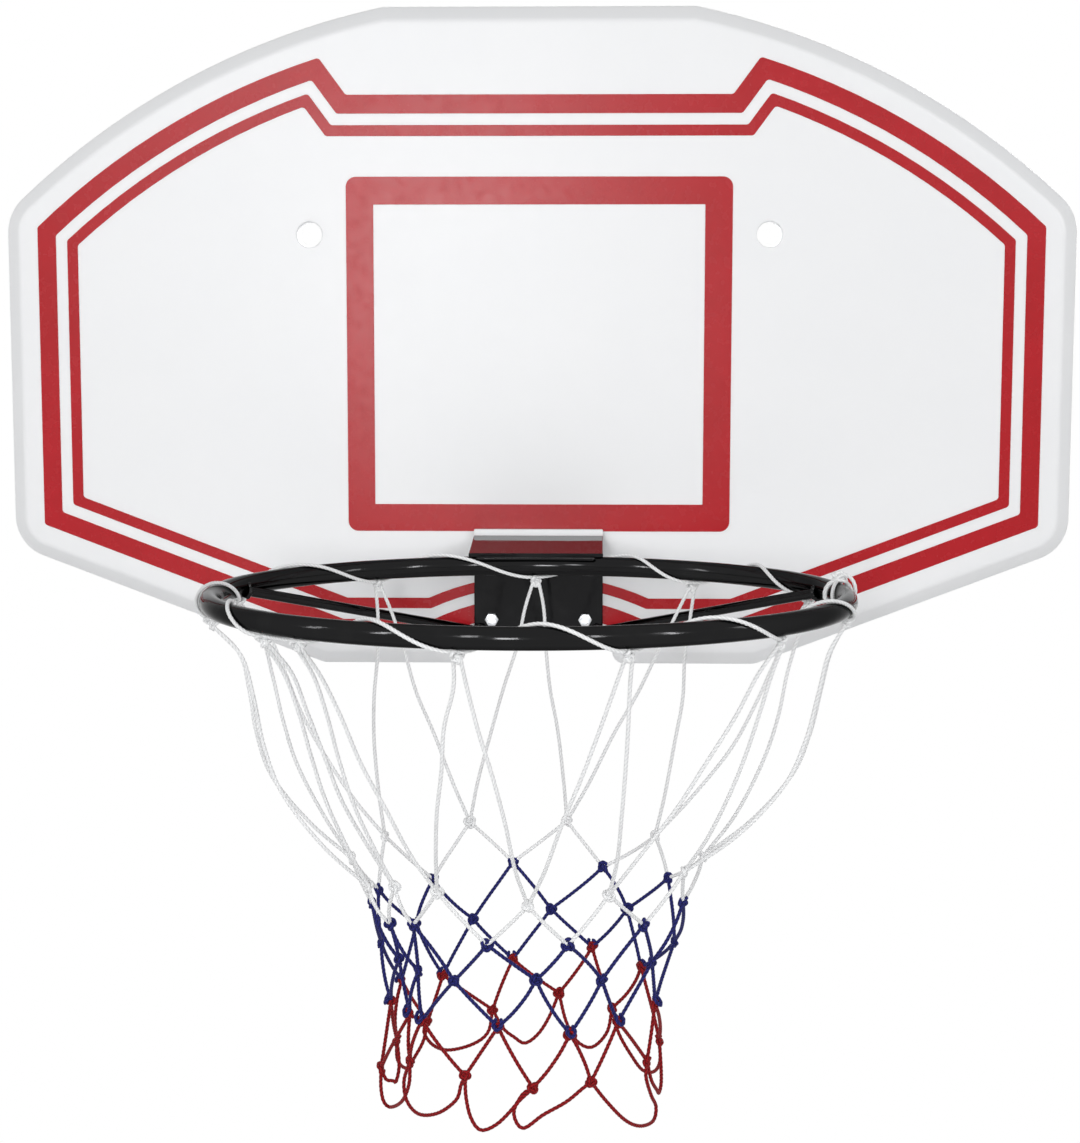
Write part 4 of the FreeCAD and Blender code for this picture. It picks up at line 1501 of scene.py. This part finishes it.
@dataclass
class Bracket:
    """Bolted plate, bent shelf, two braces and the weld beads that join them to the ring."""

    hoop: Hoop
    plate_corner: float = 0.006
    edge_round: float = 0.0007
    edge_shares: tuple[Pair, ...] = ((2.0, 0.0), (1.0, 0.0), (ROUND_SHARE, ROUND_SHARE), (0.0, 1.0))
    sheet: float = 0.003
    bend_radius: float = 0.004
    bend_steps: int = 10
    shelf_degrees: float = 4.0
    shelf_corner_steps: int = 3
    shelf_sharp: float = 8.0
    lip_sharp: float = 12.0
    hole_radius: float = 0.0035
    brace_radius: float = 0.004
    brace_degrees: float = 14.0
    brace_steps: int = 12
    round_steps: int = 24
    foot_side_margin: float = 0.006
    foot_margin: float = 0.006
    bead_radius: float = 0.0024
    bead_ripple: float = 0.22
    bead_sides: int = 12
    bead_sharp: float = 60.0
    bead_end_scale: float = 0.15
    ripple_length: float = 0.0034
    shelf_bead_degrees: float = 12.4
    shelf_bead_steps: int = 120
    shelf_bead_sink_share: float = 0.5
    shelf_bead_reach_share: float = 0.8
    collar_reach_share: float = 1.9
    collar_sink_share: float = 0.35
    collar_turn: float = 2.1 * math.pi
    collar_steps: int = 70

    def build(self, bolts: Sequence[Pair]) -> None:
        """Makes the bracket's pieces.

        Args:
            bolts: The bolt axes, as x and z.
        """
        self.plate_low, self.plate_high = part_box("bracket_plate")
        self.shelf_low, self.shelf_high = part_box("bracket_shelf")
        self.plate(bolts)
        self.shelf()
        for side, name in ((-1, "brace_rod_left"), (1, "brace_rod_right")):
            self.brace(side, name)
        self.beads()

    def plate(self, bolts: Sequence[Pair]) -> None:
        """Makes the plate with its holes.

        Args:
            bolts: The bolt axes, as x and z.
        """
        low, high = self.plate_low, self.plate_high
        middle = (low + high) / 2
        half = (high - low) / 2
        draft = Draft()
        small = self.edge_round
        profile = [(small * inset, low.y + small * deep) for inset, deep in self.edge_shares]
        profile += [(small * inset, high.y - small * deep) for inset, deep in reversed(self.edge_shares)]
        levels = []
        for inset, y in profile:
            levels.append((rounded_rectangle(half.x - inset, half.z - inset, self.plate_corner - inset), y))
        rims = draft.stack(levels, middle.x, middle.z)
        bore = [(self.hole_radius, low.y), (self.hole_radius, high.y)]
        holes = zip(*[draft.tube(bore, x, z, self.round_steps) for x, z in bolts])
        for rim, mouths in zip(rims, holes):
            draft.fill(rim, mouths)
        dress(draft.piece("bracket_back_plate"), SHEET_PAINT, Body.BOARD, "bracket_plate")

    def shelf(self) -> None:
        """Makes the bent shelf from the plate to the ring, and its turned-up back edge, white as a painted
        highlight.
        """
        low, high = self.shelf_low, self.shelf_high
        half = self.sheet / 2
        small = self.edge_round
        slope = math.radians(self.shelf_degrees)
        nose = Vector((low.y + half * math.sin(slope), low.z + half * math.cos(slope)))
        upright = high.y - half
        corner = (upright, nose.y + (upright - nose.x) * math.tan(slope))
        line = rounded_line((nose, corner, (upright, high.z)), (self.bend_radius + half,), self.bend_steps)
        path = np.array([(0.0, point.x, point.y) for point in line])
        section = rounded_rectangle(high.x, half, small, self.shelf_corner_steps)
        tips = np.array((path[0] + (0.0, small, 0.0), path[-1] - (0.0, 0.0, small)))
        path = np.vstack((path[:1], tips[:1], path[1:-1], tips[1:], path[-1:]))
        shrink = 1 - small / high.x
        scales = [shrink] + [1.0] * (len(path) - 2) + [shrink]
        # The bend begins after the path's end and its rounded tip.
        bend = 2
        sheet = Draft()
        sheet.sweep(path[:bend + 1], section, scales[:bend + 1])
        dress(sheet.piece("bracket_bent_shelf", self.shelf_sharp), SHEET_PAINT, Body.BOARD, "bracket_shelf")
        lip = Draft()
        lip.sweep(path[bend:], section, scales[bend:])
        # The lip is black painted steel like the shelf; the white plastic finish on it is a painted
        # highlight.
        dress(lip.piece("bracket_lip_painted_highlight", self.lip_sharp), BOARD_PLASTIC, Body.BOARD)

    def ends_of(self, side: int) -> tuple[Vector, Vector]:
        """The two ends of a brace's middle line.

        Args:
            side: -1 for the left brace, 1 for the right one.

        Returns:
            Its ends on the ring and on the plate.
        """
        degrees = self.brace_degrees if side > 0 else 180 - self.brace_degrees
        start = self.hoop.on_rod(degrees, 0.0, 0.0)
        x = self.plate_high.x - self.foot_side_margin
        return start, Vector((side * x, self.plate_low.y, self.plate_low.z + self.foot_margin))

    def brace(self, side: int, node: str) -> None:
        """Makes one brace.

        Args:
            side: -1 for the left brace, 1 for the right one.
            node: The CAD node that it stands for.
        """
        start, foot = self.ends_of(side)
        draft = Draft()
        path = np.linspace(np.array(start), np.array(foot), self.brace_steps)
        draft.sweep(path, circle(self.brace_radius, self.round_steps))
        dress(draft.piece(node.replace("brace_rod", "round_brace")), STEEL_PAINT, Body.BOARD, node)

    def beads(self) -> None:
        """Makes the weld beads of the shelf and the braces."""
        draft = Draft()
        reach = self.shelf_bead_degrees
        span = np.linspace(90 - reach, 90 + reach, self.shelf_bead_steps)
        top = self.shelf_low.z - self.bead_radius * self.shelf_bead_sink_share
        inner = self.hoop.radius - self.hoop.rod * self.shelf_bead_reach_share
        self.bead(draft, np.array([self.hoop.at(degrees, inner, top) for degrees in span]))
        for side in (-1, 1):
            start, foot = self.ends_of(side)
            run = (foot - start).normalized()
            self.bead(draft, self.collar(start + run * (self.hoop.rod * self.collar_reach_share), run))
            self.bead(draft, self.collar(foot - run * self.bead_radius, run))
        dress(draft.piece("weld_beads", self.bead_sharp), STEEL_PAINT, Body.BOARD)

    def collar(self, centre: Vector, run: Vector) -> np.ndarray:
        """Line of a bead round a brace.

        Args:
            centre: The bead's middle.
            run: The brace's direction.

        Returns:
            The bead's line, which overlaps itself a little.
        """
        across = run.orthogonal().normalized()
        upward = run.cross(across)
        turns = np.linspace(0, self.collar_turn, self.collar_steps)
        reach = self.brace_radius + self.bead_radius * self.collar_sink_share
        return np.array([centre + (across * math.cos(t) + upward * math.sin(t)) * reach for t in turns])

    def bead(self, draft: Draft, path: np.ndarray) -> None:
        """Adds one rippled weld bead.

        Args:
            draft: The beads' draft.
            path: The bead's line.
        """
        along = travelled(path)
        ripple = np.abs(np.sin(math.pi * along / self.ripple_length))
        ends = np.clip(np.minimum(along, along[-1] - along) / self.bead_radius, self.bead_end_scale, 1.0)
        scales = (1 - self.bead_ripple * (1 - ripple)) * np.sqrt(ends)
        draft.sweep(path, circle(self.bead_radius, self.bead_sides), scales)


@dataclass
class Fasteners:
    """Bolts through the plate, closed in the back's pockets by washers, lock washers and nuts."""

    hoop: Hoop
    spacing_x: float = 0.080
    spacing_z: float = 0.045
    row_below_ring: float = 0.0105
    across_flats: float = 0.010
    head_height: float = 0.004
    dish_shares: Pair = (0.72, 0.8)
    dish_depth: float = 0.0004
    shank_radius: float = 0.003
    thread_pitch: float = 0.001
    thread_depth: float = 0.0005
    thread_length: float = 0.014
    rows_per_pitch: int = 8
    washer_radius: float = 0.006
    washer_hole: float = 0.0032
    lock_radius: float = 0.0055
    lock_split_degrees: float = 14.0
    edge_round: float = 0.0003
    chamfer_slope: float = 0.5
    crown_share: float = 0.94
    steps: int = 36

    def __post_init__(self) -> None:
        """Works out the round that a head's chamfer leaves, and even angles round an axis."""
        self.crown = self.across_flats / 2 * self.crown_share
        self.turns = [FULL_TURN * i / self.steps for i in range(self.steps)]

    def places(self) -> list[Pair]:
        """The bolt axes, as x and z.

        Returns:
            The axes, row by row.
        """
        upper = self.hoop.centre.z - self.row_below_ring
        rows = (upper, upper - self.spacing_z)
        return [(side * self.spacing_x / 2, z) for z in rows for side in (-1, 1)]

    def build(self) -> None:
        """Makes the four sets."""
        kinds = (("hexagon_bolts", "bracket_bolts", self.bolt),
                 ("flat_washers", "bracket_washers", self.washer),
                 ("split_lock_washers", "bracket_lock_washers", self.lock_washer),
                 ("hexagon_nuts", "bracket_nuts", self.nut))
        for name, node, make in kinds:
            draft = Draft()
            low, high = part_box(node)
            for axis in self.places():
                make(draft, axis, low.y, high.y)
            dress(draft.piece(name), ZINC, Body.BOARD, node)

    def disc(self, outer: float, front: float, back: float) -> list[Pair]:
        """Section of a washer with eased edges.

        Args:
            outer: The rim's radius.
            front: The front plane.
            back: The back plane.

        Returns:
            Points as distance from the axis and place along it.
        """
        small = self.edge_round
        inner = self.washer_hole
        return [(inner, front + small), (inner + small, front),
                (outer - small, front), (outer, front + small),
                (outer, back - small), (outer - small, back),
                (inner + small, back), (inner, back - small)]

    def circle_at(self, draft: Draft, axis: Pair, radius: float, y: float) -> Loop:
        """Adds a circle about an axis."""
        return draft.upright(circle(radius, self.steps), y, *axis)

    def hexagon(self, draft: Draft, axis: Pair, y: float, ease: float) -> Loop:
        """Adds a hexagon whose corners are turned down by a cone.

        Args:
            draft: The draft.
            axis: The axis, as x and z.
            y: The plane of the hexagon's flats.
            ease: How much y changes for each metre beyond the cone, 0 for a plain hexagon.

        Returns:
            The numbers of its points.
        """
        x, z = axis
        points = []
        for turn in self.turns:
            reach = hexagon_reach(turn, self.across_flats)
            place = y + ease * (reach - self.crown)
            points.append((x + reach * math.cos(turn), place, z + reach * math.sin(turn)))
        return draft.loop(points)

    def bolt(self, draft: Draft, axis: Pair, front: float, back: float) -> None:
        """Adds a bolt: a chamfered head with a shallow dish, and a shank with its thread.

        Args:
            draft: The draft.
            axis: The bolt's axis, as x and z.
            front: The plane of the head's front.
            back: The plane of the shank's end.
        """
        base = front + self.head_height
        plain = back - self.thread_length
        dish, brim = self.dish_shares
        loops = [self.circle_at(draft, axis, self.crown * dish, front + self.dish_depth),
                 self.circle_at(draft, axis, self.crown * brim, front),
                 self.circle_at(draft, axis, self.crown, front),
                 self.hexagon(draft, axis, front, self.chamfer_slope),
                 self.hexagon(draft, axis, base, 0.0),
                 self.circle_at(draft, axis, self.shank_radius, base),
                 self.circle_at(draft, axis, self.shank_radius, plain)]
        rows = round(self.thread_length / self.thread_pitch * self.rows_per_pitch)
        for row in range(1, rows):
            loops.append(self.thread(draft, axis, plain + self.thread_length * row / rows))
        loops.append(self.circle_at(draft, axis, self.shank_radius - self.thread_depth, back))
        draft.cap(loops[0])
        draft.bridge(loops)
        draft.cap(loops[-1])

    def thread(self, draft: Draft, axis: Pair, y: float) -> Loop:
        """Adds one outline of the thread.

        Args:
            draft: The draft.
            axis: The bolt's axis, as x and z.
            y: The outline's plane.

        Returns:
            The numbers of its points.
        """
        points = []
        for turn in self.turns:
            share = (y / self.thread_pitch + turn / FULL_TURN) % 1.0
            reach = self.shank_radius - self.thread_depth * abs(2 * share - 1)
            points.append(Vector((reach * math.cos(turn), reach * math.sin(turn))))
        return draft.upright(points, y, *axis)

    def washer(self, draft: Draft, axis: Pair, front: float, back: float) -> None:
        """Adds a flat washer between two planes."""
        draft.tube(self.disc(self.washer_radius, front, back), *axis, self.steps, True)

    def lock_washer(self, draft: Draft, axis: Pair, front: float, back: float) -> None:
        """Adds a split spring washer whose two ends stand a little apart.

        Args:
            draft: The draft.
            axis: Its axis, as x and z.
            front: Its front plane.
            back: Its back plane.
        """
        x, z = axis
        section = self.disc(self.lock_radius, front, back)
        split = math.radians(self.lock_split_degrees)
        loops = []
        for i in range(self.steps + 1):
            share = i / self.steps
            turn = QUARTER_TURN + split / 2 + (FULL_TURN - split) * share
            lift = self.edge_round * (0.5 - share)
            loops.append(draft.loop((x + reach * math.cos(turn), y + lift, z + reach * math.sin(turn))
                                    for reach, y in section))
        draft.bridge(loops)
        draft.cap(loops[0])
        draft.cap(loops[-1])

    def nut(self, draft: Draft, axis: Pair, front: float, back: float) -> None:
        """Adds a nut, chamfered on both faces.

        Args:
            draft: The draft.
            axis: Its axis, as x and z.
            front: Its front plane.
            back: Its back plane.
        """
        depth = self.thread_depth
        bore = self.shank_radius
        loops = [self.circle_at(draft, axis, bore, front + depth),
                 self.circle_at(draft, axis, bore + depth, front),
                 self.circle_at(draft, axis, self.crown, front),
                 self.hexagon(draft, axis, front, self.chamfer_slope),
                 self.hexagon(draft, axis, back, -self.chamfer_slope),
                 self.circle_at(draft, axis, self.crown, back),
                 self.circle_at(draft, axis, bore + depth, back),
                 self.circle_at(draft, axis, bore, back - depth)]
        draft.bridge(loops, True)


@dataclass
class Net:
    """Cord net: lacing round the ring, long white cords, four rows of meshes and the end loops."""

    camera: PhotoCamera
    hoop: Hoop
    head_degrees: tuple[float, ...] = (-72.0, -41.0, -9.0, 24.0, 57.0, 90.0, 123.0, 163.0, 195.0, 221.0,
                                       230.0, 260.0)
    row_drops: tuple[float, ...] = (0.197, 0.229, 0.262, 0.299, 0.338)
    row_radii: tuple[float, ...] = (0.132, 0.122, 0.111, 0.104, 0.100)
    loop_drop: float = 0.376
    bow: float = 0.022
    bow_shares: tuple[float, ...] = (0.5, 0.4, 1.4, 0.8, 0.4, 0.4, 0.35, 0.4, 0.9, 0.25, 0.25, 0.5)
    bow_range: Pair = (0.85, 1.1)
    tuck_shares: tuple[float, ...] = (0.0, 0.0, 0.0, 0.0, 0.0, 0.0, 0.0, 0.4, 0.4, 0.3, 0.2, 0.0)
    bow_profile: tuple[Pair, ...] = ((0.0, 0.0), (0.12, 0.06), (0.28, 0.42), (0.46, 0.84), (0.64, 1.05),
                                     (0.84, 0.72), (1.0, 0.0))
    tuck_profile: tuple[float, ...] = (0.0, 1.0, 0.8, 0.3, 0.0, 0.0, 0.0)
    strand_gap: float = 0.0024
    strand_sway: float = 0.0018
    mesh_shares: tuple[float, ...] = (0.0, 0.3, 0.65, 1.0)
    mesh_slack: Pair = (-0.0005, 0.003)
    mesh_sway: float = 0.0016
    mesh_sag_share: float = 0.5
    lacing_gap: float = 0.0002
    lacing_samples: int = 24
    shelf_clearance: float = 0.022
    paired_degrees: float = 12.0
    back_degrees: float = 90.0
    tie_degrees: float = 9.0
    tie_size: float = 0.0044
    tie_facing: Triple = (0.0, -0.5, 1.0)
    tie_rise_share: float = 0.75
    tie_turns: float = 1.7
    tie_start: float = 60.0
    tie_steps: int = 70
    tie_pitch_share: float = 2.1
    tie_back_share: float = 1.6
    tie_lift_share: float = 0.4
    half_knot_share: float = 0.7
    half_knot_along: float = 0.004
    half_knot_drop: float = 0.001
    tail_lengths: Pair = (0.026, 0.019)
    tail_spread: float = 0.8
    tail_lift: float = 0.001
    tail_shares: tuple[Pair, ...] = ((0.52, 0.2), (0.56, 0.62))
    tail_root_share: float = 0.3
    knot_size: float = 0.0038
    knot_range: Pair = (0.9, 1.15)
    head_size: float = 0.0032
    head_drop_share: float = 0.8
    head_bight: tuple[Triple, ...] = ((-0.9, -90.0, 0.004), (-0.5, -60.0, 0.0016), (0.0, -90.0, -0.0008),
                                      (0.5, -120.0, 0.0016), (0.9, -90.0, 0.004))
    loop_lift: Pair = (0.002, 0.012)
    loop_toe: Pair = (0.16, 0.24)
    loop_toe_rise: float = 0.005
    loop_waist_share: float = 0.8
    hitched_row: int = 3
    knot_pixels: tuple[dict[int, Pixel], ...] = (
        {0: (528, 906), 1: (609, 895), 2: (684, 872), 4: (655, 836), 5: (567, 821), 6: (470, 822),
         7: (385, 836), 9: (369, 887), 11: (437, 892)},
        {0: (568, 945), 1: (644, 925), 2: (683, 902), 3: (668, 878), 4: (603, 867), 5: (513, 862),
         6: (433, 879), 8: (372, 903), 10: (413, 925), 11: (487, 945)},
        {0: (536, 980), 1: (602, 980), 2: (652, 962), 4: (627, 909), 5: (551, 909), 6: (473, 919),
         9: (399, 959), 11: (454, 981)},
        {0: (570, 1034), 1: (618, 1022), 2: (655, 1003), 3: (641, 967), 4: (592, 947), 5: (513, 959),
         6: (443, 975), 8: (391, 1001), 10: (422, 1020), 11: (498, 1027)},
        {0: (533, 1088), 1: (591, 1082), 2: (647, 1061), 4: (612, 1008), 5: (559, 993), 9: (381, 1068),
         10: (410, 1061), 11: (465, 1076)},
    )
    loop_pixels: dict[int, tuple[Pixel, ...]] = field(default_factory=lambda: {
        0: ((516, 1105), (515, 1119), (524, 1128), (543, 1115), (566, 1102), (582, 1089)),
        1: ((607, 1102), (625, 1120), (640, 1126), (653, 1121), (656, 1107), (651, 1095), (646, 1077)),
        4: ((607, 1032), (592, 1047), (577, 1041), (566, 1021)),
        5: ((549, 1017), (538, 1034), (525, 1043), (514, 1037), (503, 1028)),
        6: ((488, 1032), (473, 1044), (449, 1050), (433, 1045), (424, 1032)),
        9: ((381, 1088), (384, 1102), (391, 1107), (402, 1101), (409, 1084)),
        10: ((404, 1081), (407, 1101), (419, 1114), (438, 1113), (456, 1100), (461, 1085)),
        11: ((466, 1097), (471, 1118), (481, 1130), (497, 1124), (514, 1107), (523, 1094))})
    tie_seed: int = SEED + 1
    head_seed: int = SEED + 2
    strand_seed: int = SEED + 3
    row_seed: int = SEED + 10
    loop_seed: int = SEED + 20
    knot_seed: int = SEED + 30
    hitch_seed: int = SEED + 40

    def __post_init__(self) -> None:
        """Works out the number of columns and where the lacing and the head knots lie."""
        self.columns = len(self.head_degrees)
        self.lacing_reach = self.hoop.rod + CordDraft.RADIUS + self.lacing_gap
        drop = self.lacing_reach + CordDraft.RADIUS + self.head_size * self.head_drop_share
        self.head_z = self.hoop.centre.z - drop

    def build(self) -> None:
        """Makes the net's pieces from the ring down."""
        self.lacing()
        self.tie()
        self.heads()
        self.strands()
        rows = (("net_white_row", WHITE_CORD), ("net_blue_upper_row", BLUE_CORD),
                ("net_blue_lower_row", BLUE_CORD), ("net_red_row", RED_CORD))
        for row, (node, finish) in enumerate(rows):
            self.row(row, node, finish)
        self.loops()
        for row, finish in enumerate((WHITE_CORD, BLUE_CORD, BLUE_CORD, RED_CORD, RED_CORD)):
            self.knots(row, finish)
        self.hitches()

    def head(self, column: int) -> float:
        """Angle of a head knot, counted on past a full turn."""
        turns, place = divmod(column, self.columns)
        return self.head_degrees[place] + 360 * turns

    def degrees(self, row: int, column: int) -> float:
        """Angle of a knot, which hangs midway between the two above it.

        Args:
            row: The row, from 0 at the top.
            column: The column, which may run past a full turn.

        Returns:
            The angle in degrees.
        """
        if row == 0:
            return (self.head(column - 1) + self.head(column)) / 2
        left = column if row % 2 else column - 1
        return (self.degrees(row - 1, left) + self.degrees(row - 1, left + 1)) / 2

    def place(self, row: int, column: int) -> Vector:
        """Middle of a knot: where the photograph shows it, or else midway between those above.

        Args:
            row: The row, from 0 at the top.
            column: The column, which may run past a full turn.

        Returns:
            The point.
        """
        degrees = self.degrees(row, column)
        pixel = self.knot_pixels[row].get(column % self.columns)
        if pixel is None:
            return self.hoop.at(degrees, self.row_radii[row], self.hoop.centre.z - self.row_drops[row])
        near = self.hoop.outward(degrees).y < 0.0
        return self.camera.on_round(pixel, self.hoop.centre, self.row_radii[row], near)

    def away(self, point: Vector) -> Vector:
        """Level direction from the net's axis to a point."""
        return Vector((point.x, point.y - self.hoop.centre.y, 0.0)).normalized()

    def lacing_route(self) -> list[Pair]:
        """Quarter turns of the lacing: the angle about the ring and the angle about the rod.

        Returns:
            Both angles in degrees, point by point.
        """
        _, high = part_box("bracket_shelf")
        shelf = math.degrees(math.asin((high.x + self.shelf_clearance) / self.hoop.radius))
        first = next(i for i, degrees in enumerate(self.head_degrees) if degrees > self.tie_degrees)
        heads = [self.head(first + i) for i in range(self.columns)]
        route = [(self.tie_degrees, 90.0), ((self.tie_degrees + heads[0]) / 2, 0.0)]
        swing = -90.0
        for here, there in zip(heads, heads[1:]):
            if there - here < self.paired_degrees:
                route.append((here, swing))
                continue
            crossing = (here + there) / 2
            if here < self.back_degrees <= there:
                crossing = min(crossing, self.back_degrees - shelf)
            if here <= self.back_degrees < there:
                crossing = max(crossing, self.back_degrees + shelf)
            route += [(here, swing), ((here + crossing) / 2, swing - 90), (crossing, swing - 180),
                      ((crossing + there) / 2, swing - 270)]
            swing -= 360
        end = self.tie_degrees + 360
        return route + [(heads[-1], swing), ((heads[-1] + end) / 2, swing - 90), (end, swing - 180)]

    def lacing(self) -> None:
        """Makes the cord that is wound along the ring."""
        draft = CordDraft(SEED)
        route = smooth(self.lacing_route(), self.lacing_samples)
        line = [self.hoop.on_rod(degrees, swing, self.lacing_reach) for degrees, swing in route]
        draft.cord(np.array(line))
        dress(draft.piece("lacing_cord"), WHITE_CORD, Body.BOARD, "net_lacing_cord")

    def tie(self) -> None:
        """Makes the tied ends of the lacing: turns round the rod, a knot and two short tails."""
        draft = CordDraft(self.tie_seed)
        pitch = math.degrees(CordDraft.RADIUS * self.tie_pitch_share / self.hoop.radius)
        start = self.tie_degrees - pitch * self.tie_back_share
        reach = self.lacing_reach + CordDraft.RADIUS * self.tie_lift_share
        line = []
        for swing in np.linspace(self.tie_start, self.tie_start + self.tie_turns * 360, self.tie_steps):
            line.append(self.hoop.on_rod(start + pitch * (swing - self.tie_start) / 360, swing, reach))
        draft.cord(np.array(line))
        rise = self.tie_size * self.tie_rise_share
        centre = self.hoop.on_rod(self.tie_degrees, 90.0, self.lacing_reach + rise)
        outward = self.hoop.outward(self.tie_degrees)
        along = aside(outward)
        draft.knot(centre, Vector(self.tie_facing), self.tie_size)
        beside = centre + along * self.half_knot_along - UP * self.half_knot_drop
        draft.knot(beside, outward, self.tie_size * self.half_knot_share)
        for side, length in zip((-1, 1), self.tail_lengths):
            run = (outward + along * (self.tail_spread * side)).normalized()
            points = [centre, centre + run * (length * self.tail_root_share) + UP * self.tail_lift]
            points += [centre + run * (length * out) - UP * (length * fall) for out, fall in self.tail_shares]
            draft.cord(smooth(points))
        dress(draft.piece("tied_cord_ends"), WHITE_CORD, Body.BOARD, "net_tie_knot")

    def heads(self) -> None:
        """Makes the knots that hang the net from the lacing."""
        draft = CordDraft(self.head_seed)
        for degrees in self.head_degrees:
            centre = self.hoop.at(degrees, self.hoop.radius, self.head_z)
            draft.knot(centre, self.hoop.outward(degrees), self.head_size)
            bight = [self.hoop.on_rod(degrees + turn, swing, self.lacing_reach + lift)
                     for turn, swing, lift in self.head_bight]
            draft.cord(smooth(bight))
        dress(draft.piece("head_knots"), WHITE_CORD, Body.BOARD, "net_head_knots")

    def strands(self) -> None:
        """Makes the long cords from the ring to the first row, attached to neither body."""
        draft = CordDraft(self.strand_seed)
        chance = random.Random(SEED)
        for i, degrees in enumerate(self.head_degrees):
            head = self.hoop.at(degrees, self.hoop.radius, self.head_z)
            tuck_in = self.bow * self.tuck_shares[i]
            for side, column in ((-1, i), (1, i + 1)):
                start = head + aside(self.away(head)) * (self.strand_gap * side)
                end = self.place(0, column)
                bow = self.bow * self.bow_shares[i] * chance.uniform(*self.bow_range)
                points = []
                for (share, swell), tuck in zip(self.bow_profile, self.tuck_profile):
                    middle = start.lerp(end, share)
                    at_end = share in (0.0, 1.0)
                    sway = 0.0 if at_end else chance.uniform(-self.strand_sway, self.strand_sway)
                    out = self.away(middle)
                    points.append(middle + out * (bow * swell - tuck_in * tuck) + aside(out) * sway)
                draft.cord(smooth(points))
        piece = dress(draft.piece("long_white_cords"), WHITE_CORD, None, "net_top_strands")
        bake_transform(piece)

    def row(self, row: int, node: str, finish: Finish) -> None:
        """Makes the cords from one row of knots to the next.

        Args:
            row: The upper row.
            node: The CAD node that they stand for.
            finish: Their finish.
        """
        draft = CordDraft(self.row_seed + row)
        chance = random.Random(SEED + row)
        for column in range(self.columns):
            start = self.place(row, column)
            right = column if row % 2 == 0 else column + 1
            for target in (right - 1, right):
                end = self.place(row + 1, target)
                points = []
                slack = chance.uniform(*self.mesh_slack)
                sway = chance.uniform(-self.mesh_sway, self.mesh_sway)
                for share in self.mesh_shares:
                    middle = start.lerp(end, share)
                    out = self.away(middle)
                    hump = 4 * share * (1 - share)
                    bend = out * slack + aside(out) * sway - UP * (slack * self.mesh_sag_share)
                    points.append(middle + bend * hump)
                draft.cord(smooth(points))
        dress(draft.piece(node.replace("net", "cords")), finish, Body.NET, node)

    def loops(self) -> None:
        """Makes the end loops, each as uneven as it hangs."""
        draft = CordDraft(self.loop_seed)
        chance = random.Random(self.loop_seed)
        row = len(self.row_drops) - 1
        for column in range(self.columns):
            start = self.place(row, column)
            end = self.place(row, column + 1)
            out = self.away((start + end) / 2)
            pixels = self.loop_pixels.get(column)
            if pixels is not None:
                points = [self.camera.on_round(pixel, self.hoop.centre, self.row_radii[row], out.y < 0.0)
                          for pixel in pixels]
            else:
                foot = self.hoop.centre + out * self.row_radii[row]
                foot.z = self.hoop.centre.z - self.loop_drop + chance.uniform(*self.loop_lift)
                toe = (end - start) * chance.uniform(*self.loop_toe)
                waist = toe * self.loop_waist_share
                rise = UP * self.loop_toe_rise
                points = [start.lerp(foot, 0.5) - waist, foot - toe + rise, foot, foot + toe + rise,
                          end.lerp(foot, 0.5) + waist]
            draft.cord(smooth([start, *points, end]))
        dress(draft.piece("red_end_loops"), RED_CORD, Body.NET, "net_red_loops")

    def knots(self, row: int, finish: Finish) -> None:
        """Makes one row of knots.

        Args:
            row: The row, from 0 at the top.
            finish: Their finish.
        """
        draft = CordDraft(self.knot_seed + row)
        for column in range(self.columns):
            centre = self.place(row, column)
            draft.knot(centre, self.away(centre), self.knot_size * draft.chance.uniform(*self.knot_range))
        dress(draft.piece("knots_of_row_%d" % (row + 1)), finish, Body.NET, "net_knots_row_%d" % (row + 1))

    def hitches(self) -> None:
        """Makes the bights of blue cord over the row of red knots where the colour changes."""
        draft = CordDraft(self.hitch_seed + self.hitched_row)
        for column in range(self.columns):
            centre = self.place(self.hitched_row, column)
            draft.hitch(centre, self.away(centre), self.knot_size)
        dress(draft.piece("blue_hitches"), BLUE_CORD, Body.NET)


def corners(box: Box) -> list[list[float]]:
    """A box's two corners as plain lists."""
    return [list(corner) for corner in box]


def main() -> None:
    """Builds the camera, the studio and the object, and measures its size."""
    logging.basicConfig(level=logging.INFO, format="%(name)s: %(message)s")
    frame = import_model()
    cad_box = corners(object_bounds())
    camera = PhotoCamera()
    camera.build()
    Studio().build()
    hoop = Hoop()
    fasteners = Fasteners(hoop)
    Board().build(frame["nodes"], fasteners.places())
    hoop.build()
    Bracket(hoop).build(fasteners.places())
    fasteners.build()
    Net(camera, hoop).build()
    {"cad": cad_box, "visual": corners(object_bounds())}


if __name__ == "__main__":
    main()
